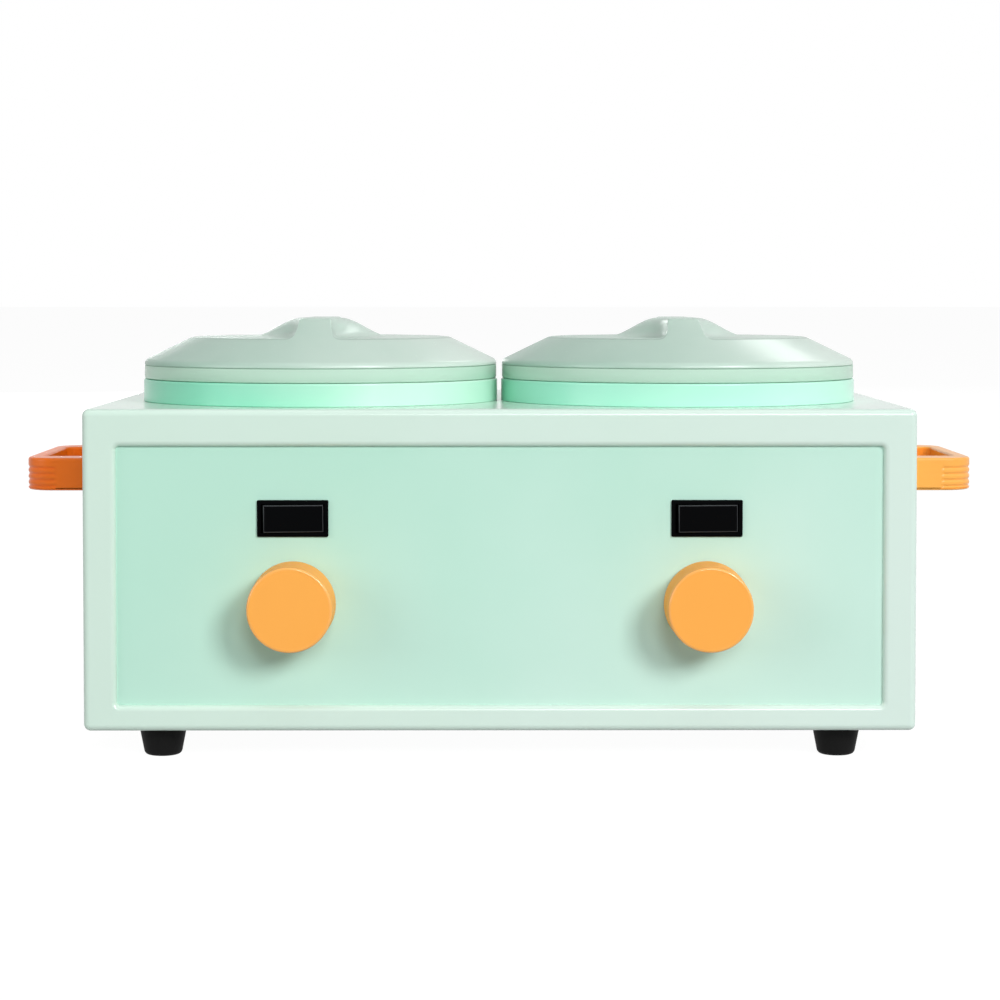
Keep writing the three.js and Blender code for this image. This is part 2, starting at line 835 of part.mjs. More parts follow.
function clampNut() {
  const corner = nutAcrossFlats / 2 / Math.cos(Math.PI / 6);
  return cut(
    rod(corner, nutHeight, seat, 6),
    rod(bushRadius + slip / 2, nutHeight + 2 * overrun, seat - overrun, screwSides),
  );
}

// Rocker switches: a snap-in body with a bezel, and a rocker that leans about an upright pin
function switchBody() {
  const bezel = prism(rectangle(bezelWidth, bezelHeight), bezelReach - seat, seat, bezelEdge);
  const body = prism(
    rectangle(switchBodyWidth, switchBodyHeight), switchBodyDepth + bezelReach / 2, -switchBodyDepth,
  );
  const tabs = [-1, 0, 1].map((step) => prism(
    moved(rectangle(switchTabThickness, switchTabWidth), step * switchTabPitch, 0),
    switchTabLength + overrun,
    -switchBodyDepth - switchTabLength,
  ));
  const pocket = prism(
    rectangle(rockerLength + 2 * rockerRoom, rockerWidth + 2 * slip),
    rockerFloorDepth + overrun,
    bezelReach - rockerFloorDepth,
  );
  const pinHoles = rod(pinRadius + slip / 2, switchBodyHeight + 2 * overrun, 0, screwSides)
    .rotate([90, 0, 0])
    .translate(0, switchBodyHeight / 2 + overrun, bezelReach - rockerPivotDepth);
  return cut(join(bezel, body, ...tabs), pocket, pinHoles);
}

function rocker() {
  const faceZ = rockerPivotDepth + rockerFaceReach;
  const half = rockerLength / 2;
  const under = -(rockerBodyDepth - faceZ);
  const edge = seat * 2;
  const profile = [
    [-half + edge, faceZ],
    [-half, faceZ - edge],
    [-half, faceZ - rockerFaceReach - edge],
    [-half * rockerSkirtShare, under],
    [half * rockerSkirtShare, under],
    [half, faceZ - rockerFaceReach - edge],
    [half, faceZ - edge],
    [half - edge, faceZ],
  ];
  const body = prism(profile, rockerWidth, -rockerWidth / 2);
  const pin = rod(pinRadius, rockerWidth + 2 * pinReach, -rockerWidth / 2 - pinReach, screwSides);
  return join(body, pin).rotate([90, 0, 0]);
}

for (const [side, sign] of outwards) {
  const x = sign * controlOffset;
  place(front, `knob_${side}`, knob(), knobFinish(), [x, knobHeight, knobGap]);
  place(front, `knob_shaft_${side}`, knobShaft(), plated(), [x, knobHeight, 0]);
  place(front, `thermostat_${side}`, thermostat(), bakelite(), [x, knobHeight, 0]);
  place(front, `thermostat_nut_${side}`, clampNut(), plated(), [x, knobHeight, 0]);
  place(front, `switch_body_${side}`, switchBody(), blackPlastic(), [x, switchHeight, 0]);
  const pivot = [x, switchHeight, bezelReach - rockerPivotDepth];
  place(front, `rocker_${side}`, rocker(), blackPlastic(), pivot).rotation.y = -THREE.MathUtils.degToRad(rockerTurn);
}

// Handles: an open D with flared feet on the side wall and four grooves round the outer end
function handleOutline() {
  const half = handleLength / 2;
  const quarter = Math.PI / 2;
  const flare = handleFootLength - handleArmThickness;
  const inner = half - handleArmThickness;
  const grip = handleReach - handleGripThickness;
  const [r, s, n] = [handleCornerRadius, handleInnerRadius, handleCornerSteps];
  const back = -2 * handleEdge;
  return [
    [back, -half],
    ...arc(handleReach - r, -half + r, r, -quarter, 0, n),
    ...arc(handleReach - r, half - r, r, 0, quarter, n),
    [back, half],
    [back, inner - flare],
    ...arc(flare, inner - flare, flare, 2 * quarter, quarter, cornerSteps),
    ...arc(grip - s, inner - s, s, quarter, 0, cornerSteps),
    ...arc(grip - s, -inner + s, s, 0, -quarter, cornerSteps),
    ...arc(flare, -inner + flare, flare, 3 * quarter, 2 * quarter, cornerSteps),
    [back, -inner + flare],
  ];
}

// One groove is a thin wedge swept round the handle's outer end
function groove(height) {
  const half = handleLength / 2;
  const quarter = Math.PI / 2;
  const r = handleCornerRadius;
  const straight = [[grooveStart, -half, -quarter], [grooveStart, half, quarter]];
  const turn = (y, from, to) => arc(handleReach - r, y, r, from, to, handleCornerSteps)
    .map(([x, z], i) => [x, z, from + (to - from) * i / handleCornerSteps]);
  const path = [
    ...(grooveStart < handleReach - r ? [straight[0]] : []),
    ...turn(-half + r, -quarter, 0),
    ...turn(half - r, 0, quarter),
    ...(grooveStart < handleReach - r ? [straight[1]] : []),
  ];
  return skin(path.map(([x, y, angle]) => {
    const [nx, ny] = [Math.cos(angle), Math.sin(angle)];
    const mouth = grooveHalfHeight * (grooveDepth + slip) / grooveDepth;
    return [
      [x + nx * slip, y + ny * slip, height - mouth],
      [x - nx * grooveDepth, y - ny * grooveDepth, height],
      [x + nx * slip, y + ny * slip, height + mouth],
    ];
  }));
}

function handle() {
  const body = prism(handleOutline(), handleHeight, -handleHeight / 2, handleEdge);
  const wallSide = prism(
    rectangle(handleReach, handleLength + 2 * overrun), handleHeight + 2 * overrun,
    -handleHeight / 2 - overrun,
  ).translate(-handleReach / 2 + seat, 0, 0);
  const holes = [-1, 1].map((end) =>
    rod(handleScrewRadius + slip / 2, handleScrewReach + overrun * 2, -overrun, screwSides)
      .rotate([0, 90, 0])
      .translate(0, end * handleArmMiddle, 0));
  const grooves = [];
  for (let i = 0; i < grooveCount; i += 1) {
    grooves.push(groove(((grooveCount - 1) / 2 - i) * groovePitch - grooveDrop));
  }
  return cut(body, wallSide, ...holes, ...grooves);
}

function handleScrew() {
  const head = -caseWall - seat;
  return revolved([
    [0, head - handleScrewHeadHeight],
    [handleScrewHeadRadius - collarEdge, head - handleScrewHeadHeight],
    [handleScrewHeadRadius, head - handleScrewHeadHeight + collarEdge],
    [handleScrewHeadRadius, head],
    [handleScrewRadius, head],
    [handleScrewRadius, handleScrewReach - handleScrewRadius],
    [0, handleScrewReach],
  ], screwSides).rotate([0, 90, 0]);
}

for (const [side, sign] of outwards) {
  const wall = new THREE.Group();
  wall.position.set(sign * caseWidth / 2, caseDepth / 2, handleMiddle);
  wall.rotation.z = sign > 0 ? 0 : Math.PI;
  warmer.add(wall);
  place(wall, `handle_${side}`, handle(), knobFinish());
  for (const [end, step] of [['front', -sign], ['back', sign]]) {
    place(
      wall, `handle_screw_${end}_${side}`, handleScrew(), plated(), [0, step * handleArmMiddle, 0],
    );
  }
}

// Mains inlet: a socket in the back wall with three blades, the middle one for earth
const rear = new THREE.Group();
rear.rotation.set(Math.PI / 2, 0, Math.PI, 'ZYX');
rear.position.set(0, caseDepth, inletHeight);
warmer.add(rear);

function socketOutline(width, height, bevel) {
  const [x, y] = [width / 2, height / 2];
  return [[x, -y], [x, y - bevel], [x - bevel, y], [-x + bevel, y], [-x, y - bevel], [-x, -y]];
}

function inletShell() {
  const flange = prism(
    roundedRectangle(inletFlangeWidth, inletFlangeHeight, inletFlangeRadius), inletFlangeThickness, seat,
  );
  const body = prism(rectangle(inletBodyWidth, inletBodyHeight), inletBodyDepth + overrun, -inletBodyDepth);
  const socket = prism(
    socketOutline(inletBodyWidth - 2 * inletWall, inletBodyHeight - 2 * inletWall, inletBevel),
    inletSocketDepth + inletFlangeThickness + overrun,
    -inletSocketDepth,
  );
  const slots = bladePlaces().map(([, x, y]) => prism(
    moved(rectangle(bladeThickness + 2 * bladeRoom, bladeWidth + 2 * bladeRoom), x, y),
    inletBodyDepth,
    -inletBodyDepth - overrun,
  ));
  return cut(join(flange, body), socket, ...slots);
}

function bladePlaces() {
  return [
    ['line', -bladePitch / 2, -bladeDrop],
    ['neutral', bladePitch / 2, -bladeDrop],
    ['earth', 0, earthRise],
  ];
}

place(rear, 'power_inlet', inletShell(), blackPlastic());
for (const [name, x, y] of bladePlaces()) {
  const blade = prism(
    rectangle(bladeThickness, bladeWidth),
    bladeReach + inletBodyDepth - inletSocketDepth + bladeTail,
    -inletBodyDepth - bladeTail,
  );
  place(rear, `inlet_blade_${name}`, blade, plated(), [x, y, 0]);
}

// Terminal block: a ribbed strip on the base plate, one way each for line, neutral and earth
function terminalBlock() {
  const base = prism(rectangle(blockWidth, blockDepth), blockHeight);
  const ribs = [];
  const pitch = (blockWidth - blockRibThickness) / blockWayCount;
  for (let i = 0; i <= blockWayCount; i += 1) {
    ribs.push(prism(
      moved(rectangle(blockRibThickness, blockDepth), (i - blockWayCount / 2) * pitch, 0),
      blockHeight + blockRibHeight,
    ));
  }
  return join(base, ...ribs);
}
place(warmer, 'terminal_block', terminalBlock(), ceramic(), [0, blockSetback, plateTop + seat]);

// Leads: insulated wire that is bent to its route and ends just short of the terminal at each end
function lead(route) {
  const corners = route.map((corner) => new THREE.Vector3(...corner));
  const spine = [corners[0]];
  for (let i = 1; i + 1 < corners.length; i += 1) {
    const back = corners[i - 1].clone().sub(corners[i]);
    const ahead = corners[i + 1].clone().sub(corners[i]);
    const reach = Math.min(leadBend, back.length() * leadBendShare, ahead.length() * leadBendShare);
    const from = corners[i].clone().addScaledVector(back.normalize(), reach);
    const to = corners[i].clone().addScaledVector(ahead.normalize(), reach);
    spine.push(...new THREE.QuadraticBezierCurve3(from, corners[i], to).getPoints(leadBendSteps));
  }
  spine.push(corners.at(-1));
  const side = new THREE.Vector3();
  return skin(spine.map((point, i) => {
    const along = spine[Math.min(i + 1, spine.length - 1)].clone().sub(spine[Math.max(i - 1, 0)]).normalize();
    if (i === 0) {
      side.set(along.z, along.x, along.y);
    }
    side.addScaledVector(along, -side.dot(along)).normalize();
    const across = along.clone().cross(side);
    return arc(0, 0, leadRadius, 0, 2 * Math.PI * (1 - 1 / leadSides), leadSides - 1).map(([x, y]) =>
      point.clone().addScaledVector(side, x).addScaledVector(across, y).toArray());
  }));
}

const wayPitch = (blockWidth - blockRibThickness) / blockWayCount;
const wayHeight = plateTop + seat + blockHeight / 2;
const blockFront = blockSetback - blockDepth / 2 - slip;
const blockBack = blockSetback + blockDepth / 2 + slip;
const bladeEnd = caseDepth - inletBodyDepth - bladeTail - slip;
for (const [name, x, rise] of bladePlaces()) {
  const finishOf = { line: brownLead, neutral: blueLead, earth: greenLead }[name];
  place(warmer, `lead_mains_${name}`, lead([
    [-x, bladeEnd, inletHeight + rise],
    [-x, bladeEnd - leadTurn, inletHeight + rise],
    [-Math.sign(x) * wayPitch, bladeEnd - leadTurn, wayHeight],
    [-Math.sign(x) * wayPitch, blockBack, wayHeight],
  ]), finishOf());
}

const switchTabLine = panelFace + switchBodyDepth + switchTabLength / 2;
const switchTabFoot = switchHeight - switchTabWidth / 2 - slip;
const controlTabLine = panelFace + panelThickness + seat + thermostatDepth - 1.5 * thermostatTabHeight;
const controlTabFoot = knobHeight - thermostatWidth / 2 - thermostatTabLength - slip;
const cutoutTabLevel = wellFoot - seat - cutoutHeight + 1.5 * cutoutTabHeight;
const cutoutTip = cutoutRadius + cutoutTabLength - overrun + slip;
const lugOffset = (bandSplit + bandThickness) / 2;
const lugLine = potSetback + bandBore + bandThickness + bandLugLength / 2;
const lugFoot = wellFoot + bandLift - slip;
for (const [side, sign] of outwards) {
  const near = (x) => sign * (controlOffset - x);
  const far = (x) => sign * (potOffset + x);
  const [turnLevel, sagLevel] = [controlTabFoot - leadHang, cutoutTabLevel - leadSag];
  place(warmer, `lead_supply_${side}`, lead([
    [wayPitch + sign * leadPairing, blockFront, wayHeight],
    [wayPitch + sign * leadPairing, switchTabLine, wayHeight],
    [near(switchTabPitch), switchTabLine, wayHeight],
    [near(switchTabPitch), switchTabLine, switchTabFoot],
  ]), brownLead());
  place(warmer, `lead_control_${side}`, lead([
    [near(0), switchTabLine, switchTabFoot],
    [near(0), switchTabLine, turnLevel],
    [near(thermostatWidth / 4), controlTabLine, turnLevel],
    [near(thermostatWidth / 4), controlTabLine, controlTabFoot],
  ]), brownLead());
  place(warmer, `lead_cutout_${side}`, lead([
    [near(-thermostatWidth / 4), controlTabLine, controlTabFoot],
    [near(-thermostatWidth / 4), controlTabLine, turnLevel],
    [far(cutoutTip + leadDetour), controlTabLine + leadSlant, turnLevel],
    [far(cutoutTip + leadDetour), potSetback, cutoutTabLevel],
    [far(cutoutTip), potSetback, cutoutTabLevel],
  ]), brownLead());
  place(warmer, `lead_heater_${side}`, lead([
    [far(-cutoutTip), potSetback, cutoutTabLevel],
    [far(-cutoutTip - leadDetour), potSetback, cutoutTabLevel],
    [far(-cutoutTip - leadDetour), lugLine - leadGather, sagLevel],
    [far(-lugOffset), lugLine, sagLevel],
    [far(-lugOffset), lugLine, lugFoot],
  ]), brownLead());
  const [laneStep, laneRise] = sign > 0 ? [leadLaneStep, leadLaneRise] : [0, 0];
  place(warmer, `lead_return_${side}`, lead([
    [far(lugOffset), lugLine, lugFoot],
    [far(lugOffset), lugLine, sagLevel],
    [far(lugOffset), blockFront - leadLane - laneStep, wayHeight + laneRise],
    [-wayPitch + sign * leadPairing, blockFront - leadLane - laneStep, wayHeight + laneRise],
    ...(laneStep ? [[-wayPitch + sign * leadPairing, blockFront - leadLane, wayHeight]] : []),
    [-wayPitch + sign * leadPairing, blockFront, wayHeight],
  ]), blueLead());
}

// The origin is under the middle of the object's box, on the table
const frontReach = knobLength + knobGap - panelFace;
const rearReach = caseDepth + seat + inletFlangeThickness;
warmer.position.y = (frontReach - rearReach) / 2;

export default warmer;
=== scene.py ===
import math

import bmesh
import bpy
from mathutils import Matrix, Vector


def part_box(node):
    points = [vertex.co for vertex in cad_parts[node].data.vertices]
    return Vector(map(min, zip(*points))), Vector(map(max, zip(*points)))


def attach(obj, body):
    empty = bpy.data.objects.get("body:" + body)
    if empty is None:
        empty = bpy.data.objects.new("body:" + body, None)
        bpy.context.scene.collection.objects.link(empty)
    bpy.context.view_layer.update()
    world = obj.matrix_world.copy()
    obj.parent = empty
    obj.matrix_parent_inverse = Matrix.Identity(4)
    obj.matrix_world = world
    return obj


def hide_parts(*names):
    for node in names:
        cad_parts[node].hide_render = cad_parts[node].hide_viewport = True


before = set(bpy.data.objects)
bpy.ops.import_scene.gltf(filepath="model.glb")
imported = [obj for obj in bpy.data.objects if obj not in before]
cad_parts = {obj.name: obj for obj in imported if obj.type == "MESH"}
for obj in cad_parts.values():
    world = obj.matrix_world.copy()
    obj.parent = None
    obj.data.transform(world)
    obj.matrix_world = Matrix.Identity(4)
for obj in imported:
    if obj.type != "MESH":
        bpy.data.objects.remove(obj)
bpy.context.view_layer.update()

scene = bpy.context.scene
MM = 0.001

# Camera
# A long lens stands well back from the bench, a little above the lids, and looks slightly down.
# Part of the drop comes from the lens shift, which keeps the case's uprights nearly parallel.
front_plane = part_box("housing")[0].y
camera_distance = 1128.5 * MM
camera_height = 204.0 * MM
camera_offset = -4.7 * MM
camera_pitch = math.radians(2.31)
camera_yaw = math.radians(0.24)
camera_data = bpy.data.cameras.new("bench_camera")
camera_data.lens = 94.6
camera_data.sensor_width = 36.0
camera_data.shift_y = -0.105
camera_data.clip_start = 50 * MM
camera_data.clip_end = 30
camera = bpy.data.objects.new("bench_camera", camera_data)
scene.collection.objects.link(camera)
camera.location = (camera_offset, front_plane - camera_distance, camera_height)
camera.rotation_euler = (math.pi / 2 - camera_pitch, 0, -camera_yaw)
scene.camera = camera


# Case
# One injection moulded ABS shell, pale mint and glossy, open below. A raised frame stands round the panel
# in front, the deck has a hole for each well, and every outer edge carries the same moulding radius.
def linear(hex_code):
    """sRGB hex to linear red, green, blue and alpha."""
    parts = [int(hex_code[i:i + 2], 16) / 255 for i in (1, 3, 5)]
    return tuple(c / 12.92 if c <= 0.04045 else ((c + 0.055) / 1.055) ** 2.4 for c in parts) + (1.0,)


def add_node(tree, kind, fills=None, **settings):
    """Adds a node, sets its options, and fills its sockets with values or with links."""
    made = tree.nodes.new(kind)
    for name, value in settings.items():
        setattr(made, name, value)
    for socket, value in (fills or {}).items():
        if isinstance(value, bpy.types.NodeSocket):
            tree.links.new(value, made.inputs[socket])
        else:
            made.inputs[socket].default_value = value
    return made


def blank_material(name):
    """A material with an empty node tree."""
    material = bpy.data.materials.new(name)
    material.use_nodes = True
    material.node_tree.nodes.clear()
    return material, material.node_tree


def drifting(tree, place, cloud_size, detail, spread, fade, centre):
    """Soft clouds round the value 0.5, on a slope of painted light and shade that climbs by fade per metre
    from the centre.
    """
    cloud = add_node(tree, "ShaderNodeTexNoise", {
        "Vector": place, "Scale": 1 / cloud_size, "Detail": detail,
    })
    offset = add_node(tree, "ShaderNodeVectorMath", {0: place, 1: centre}, operation="SUBTRACT")
    painted_slope = add_node(tree, "ShaderNodeVectorMath", {0: offset.outputs["Vector"], 1: fade},
                     operation="DOT_PRODUCT")
    calm = add_node(tree, "ShaderNodeMapRange", {
        "Value": cloud.outputs["Fac"], "To Min": 0.5 - spread, "To Max": 0.5 + spread,
    })
    drift = add_node(tree, "ShaderNodeMath", {0: calm.outputs["Result"], 1: painted_slope.outputs["Value"]},
                     operation="ADD")
    return drift.outputs["Value"]


def moulded_plastic(
    name, low, high, roughness, grain, grain_depth, fade=(0, 0, 0), centre=(0, 0, 0), **shading,
):
    """Moulded plastic: colour drifting between two tones, tool-surface grain, and smudges in the gloss.

    Grain is the spacing of the surface's texture, drawn coarser than it is so that it shows. Fade is how far
    the drift also runs from the low tone to the high one per metre along X, Y and Z: a slope of painted
    light and shade.
    """
    cloud_size = 70 * MM
    cloud_spread = 0.2
    smudge_size = 28 * MM
    material, tree = blank_material(name)
    place = add_node(tree, "ShaderNodeTexCoord").outputs["Object"]
    drift = drifting(tree, place, cloud_size, 2.0, cloud_spread, fade, centre)
    tone = add_node(tree, "ShaderNodeValToRGB", {"Fac": drift})
    tone.color_ramp.elements[0].position = 0.5 - cloud_spread
    tone.color_ramp.elements[0].color = linear(low)
    tone.color_ramp.elements[1].position = 0.5 + cloud_spread
    tone.color_ramp.elements[1].color = linear(high)
    smudge = add_node(tree, "ShaderNodeTexNoise", {"Vector": place, "Scale": 1 / smudge_size, "Detail": 4.0})
    gloss = add_node(tree, "ShaderNodeMapRange", {
        "Value": smudge.outputs["Fac"], "To Min": roughness * 0.88, "To Max": roughness * 1.14,
    })
    pores = add_node(tree, "ShaderNodeTexNoise", {
        "Vector": place, "Scale": 1 / grain, "Detail": 3.0, "Roughness": 0.6,
    })
    bump = add_node(tree, "ShaderNodeBump", {
        "Height": pores.outputs["Fac"], "Strength": 0.4, "Distance": grain_depth,
    })
    shader = add_node(tree, "ShaderNodeBsdfPrincipled", {
        "Base Color": tone.outputs["Color"], "Roughness": gloss.outputs["Result"],
        "Normal": bump.outputs["Normal"], "IOR": 1.53, **shading,
    })
    add_node(tree, "ShaderNodeOutputMaterial", {"Surface": shader.outputs["BSDF"]})
    return material


def as_mesh(bm, name):
    """Turns a bmesh into a mesh and frees it."""
    mesh = bpy.data.meshes.new(name)
    bm.to_mesh(mesh)
    bm.free()
    return mesh


def dressed(name, shape, materials, body, replaced=(), sharp=32.0, even=True):
    """Makes a bmesh or a mesh a piece of the object: shaded, finished and riding on its body.

    Edges that turn by more than sharp degrees stay crisp, and even keeps flat faces flat beside round ones.
    """
    mesh = as_mesh(shape, name) if isinstance(shape, bmesh.types.BMesh) else shape
    mesh.polygons.foreach_set("use_smooth", [True] * len(mesh.polygons))
    mesh.set_sharp_from_angle(angle=math.radians(sharp))
    for material in materials:
        mesh.materials.append(material)
    piece = bpy.data.objects.new(name, mesh)
    scene.collection.objects.link(piece)
    if even:
        piece.modifiers.new("even_normals", "WEIGHTED_NORMAL").keep_sharp = True
    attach(piece, body)
    if replaced:
        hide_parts(*replaced)
    return piece


def block(low, high):
    """A box between two corners."""
    bm = bmesh.new()
    bmesh.ops.create_cube(bm, size=1.0)
    low, high = Vector(low), Vector(high)
    bmesh.ops.scale(bm, vec=high - low, verts=bm.verts)
    bmesh.ops.translate(bm, vec=(low + high) / 2, verts=bm.verts)
    return bm


def round_edges(bm, edges, radius, segments, material=-1):
    """Rounds edges to a radius; the faces made may get a material of their own."""
    bmesh.ops.bevel(
        bm, geom=list(edges), offset=radius, offset_type="OFFSET", affect="EDGES", segments=segments,
        profile=0.5, material=material, clamp_overlap=True,
    )


def carved(whole, cutters, added=()):
    """A bmesh with some shapes joined to it and others cut from it, as a mesh."""
    held = []
    for shape in (whole, *added, *cutters):
        held.append(bpy.data.objects.new("carving", as_mesh(shape, "carving")))
        scene.collection.objects.link(held[-1])
    for count, tool in enumerate(held[1:]):
        step = held[0].modifiers.new("step", "BOOLEAN")
        step.operation = "UNION" if count < len(added) else "DIFFERENCE"
        step.solver = "EXACT"
        step.object = tool
    graph = bpy.context.evaluated_depsgraph_get()
    mesh = bpy.data.meshes.new_from_object(held[0].evaluated_get(graph))
    for tool in held:
        bpy.data.objects.remove(tool)
    return mesh


def post(radius, low, high, segments, x=0.0, y=0.0):
    """An upright round bar."""
    bm = bmesh.new()
    bmesh.ops.create_cone(
        bm, cap_ends=True, segments=segments, radius1=radius, radius2=radius, depth=high - low,
    )
    bmesh.ops.translate(bm, vec=(x, y, (low + high) / 2), verts=bm.verts)
    return bm


case_low, case_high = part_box("housing")
case_edge = 3.0 * MM
case_wall = 3.0 * MM
frame_side = 14.4 * MM
frame_top = 16.2 * MM
frame_bottom = 11.2 * MM
frame_lip = 2.5 * MM
frame_corner = 1.5 * MM
frame_thickness = 2.58 * MM
overrun = 1.0 * MM
edge_segments = 6
hole_segments = 128
sides = {"left": -1, "right": 1}


def filleted(corners, steps=6):
    """A closed outline from (x, y, radius) corners, with an arc at each corner that has a radius."""
    outline = []
    for index, (x, y, radius) in enumerate(corners):
        corner = Vector((x, y))
        back = (Vector(corners[index - 1][:2]) - corner).normalized()
        ahead = (Vector(corners[(index + 1) % len(corners)][:2]) - corner).normalized()
        if not radius:
            outline.append(corner)
            continue
        half_angle = back.angle(ahead) / 2
        centre = corner + (back + ahead).normalized() * (radius / math.sin(half_angle))
        spoke = corner + back * (radius / math.tan(half_angle)) - centre
        turn = math.copysign(math.pi - 2 * half_angle, ahead.x * back.y - ahead.y * back.x)
        outline += [centre + Matrix.Rotation(turn * step / steps, 2) @ spoke for step in range(steps + 1)]
    return outline


def lofted(rings):
    """A closed form that is extruded from each ring of points to the next."""
    bm = bmesh.new()
    place = bm.verts.layers.int.new("place")
    verts = [bm.verts.new(point) for point in rings[0]]
    for index, vert in enumerate(verts):
        vert[place] = index
    face = end = bm.faces.new(verts)
    for ring in rings[1:]:
        raised = bmesh.ops.extrude_face_region(bm, geom=[face])["geom"]
        if face is not end:
            bmesh.ops.delete(bm, geom=[face], context="FACES_ONLY")
        face = [item for item in raised if isinstance(item, bmesh.types.BMFace)][0]
        for vert in face.verts:
            vert.co = ring[vert[place]]
    bmesh.ops.recalc_face_normals(bm, faces=bm.faces)
    if bm.calc_volume(signed=True) < 0:
        bmesh.ops.reverse_faces(bm, faces=bm.faces)
    return bm


shell = block(case_low, case_high)
round_edges(shell, shell.edges, case_edge, edge_segments)

# The framed opening is cut by a form whose mouth flares out, which leaves the frame's rounded lip
mouth_low = Vector((-case_high.x + frame_side, 0, case_low.z + frame_bottom))
mouth_high = Vector((case_high.x - frame_side, 0, case_high.z - frame_top))
mouth_steps = [(frame_lip, -overrun)]
for step in range(edge_segments + 1):
    turn = math.pi / 2 * step / edge_segments
    mouth_steps.append((frame_lip * (1 - math.sin(turn)), frame_lip * (1 - math.cos(turn))))
mouth_steps.append((0, frame_thickness + overrun))
mouth_rings = []
for flare, depth in mouth_steps:
    x, low, high = mouth_high.x + flare, mouth_low.z - flare, mouth_high.z + flare
    radius = frame_corner + flare
    mouth_rings.append([
        (point.x, case_low.y + depth, point.y)
        for point in filleted([(-x, low, radius), (x, low, radius), (x, high, radius), (-x, high, radius)])
    ])
mouth = lofted(mouth_rings)

collar_low, collar_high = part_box("collar_right")
well_place = (collar_low + collar_high) / 2
spigot_hole = 74.2 * MM
inlet_low, inlet_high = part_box("power_inlet")
inlet_margin = Vector((1.7, 0, 1.8)) * MM
cavity = block(
    (case_low.x + case_wall, case_low.y + frame_thickness, case_low.z - overrun),
    (case_high.x - case_wall, case_high.y - case_wall, case_high.z - case_wall),
)
deck_holes = [
    post(spigot_hole, case_high.z - case_wall - overrun, case_high.z + overrun, hole_segments,
         sign * well_place.x, well_place.y)
    for sign in sides.values()
]
inlet_hole = block(
    (inlet_low.x + inlet_margin.x, case_high.y - case_wall - overrun, inlet_low.z + inlet_margin.z),
    (inlet_high.x - inlet_margin.x, case_high.y + overrun, inlet_high.z - inlet_margin.z),
)
case_mesh = carved(shell, [cavity, mouth, *deck_holes, inlet_hole])
# Glossy ABS off a polished tool: pale mint, with soft reflections of the collars on the deck. Its tone
# carries
# painted light and shade: paler towards the right and lower down, deeper towards the top left.
case_painted_light_height = 85 * MM
case_abs_painted_light = moulded_plastic(
    "case_glossy_abs_painted_light", "#d0e8db", "#d6eae1", roughness=0.2, grain=1.6 * MM, grain_depth=0.01 * MM,
    fade=(1, 0, -1), centre=(0, 0, case_painted_light_height),
)
dressed("case_shell", case_mesh, [case_abs_painted_light], "case", ["housing"], sharp=38.0)


# Front panel
# A flat ABS plate in a greener mint, dropped in from behind against the frame and glued there.
# It is pierced for the switches and for the thermostats' bushes, and is otherwise plain.
def refinished(material, *nodes):
    """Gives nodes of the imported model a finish."""
    for node in nodes:
        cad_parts[node].material_slots[0].material = material


# Satin ABS off a spark-eroded tool, which spreads the lamps' reflections into a soft sheen. Its tone carries
# painted light and shade: paler towards the right and lower down.
panel_painted_light_height = 75 * MM
panel_abs_painted_light = moulded_plastic(
    "panel_satin_abs_painted_light", "#bbe6d4", "#cbecdf", roughness=0.36, grain=1.2 * MM, grain_depth=0.02 * MM,
    fade=(1.2, 0, -2.4), centre=(0, 0, panel_painted_light_height), **{"Specular IOR Level": 0.15},
)
refinished(panel_abs_painted_light, "front_panel")

# Base plate
# A flat ABS plate that closes the case from below, with vent slots under each well. It is screwed up into
# the case's posts together with the feet.

# Matt ABS off an unpolished tool, flat and even to the eye
plate_abs = moulded_plastic(
    "base_matt_abs", "#cfe3d8", "#d4e7dc", roughness=0.5, grain=1.4 * MM, grain_depth=0.03 * MM,
)
refinished(plate_abs, "base_plate")


# Feet
# Four tapered feet of black rubber with a rounded tread. Each is held by a zinc plated pan-head screw, sunk
# in a counterbore from below.
def turned(corners, steps, arc_steps=6):
    """A form turned round Z from (radius, height, fillet) corners in millimetres."""
    bm = bmesh.new()
    outline = [bm.verts.new((point.x * MM, 0, point.y * MM)) for point in filleted(corners, arc_steps)]
    for here, ahead in zip(outline, outline[1:] + outline[:1]):
        if here.co.x or ahead.co.x:
            bm.edges.new((here, ahead))
    bmesh.ops.spin(
        bm, geom=bm.verts[:] + bm.edges[:], cent=(0, 0, 0), axis=(0, 0, 1), angle=2 * math.pi, steps=steps,
        use_merge=True, use_duplicate=False,
    )
    bmesh.ops.remove_doubles(bm, verts=bm.verts, dist=MM / 1000)
    bmesh.ops.recalc_face_normals(bm, faces=bm.faces)
    return bm


def placed(bm, x=0.0, y=0.0, z=0.0):
    """Moves a bmesh and hands it back."""
    bmesh.ops.translate(bm, vec=(x, y, z), verts=bm.verts)
    return bm


# Black rubber, dull with a faint bloom that greys its edges
foot_rubber = moulded_plastic(
    "foot_moulded_rubber", "#0b0b0b", "#121212", roughness=0.62, grain=0.9 * MM, grain_depth=0.05 * MM,
    **{"Specular IOR Level": 0.1},
)
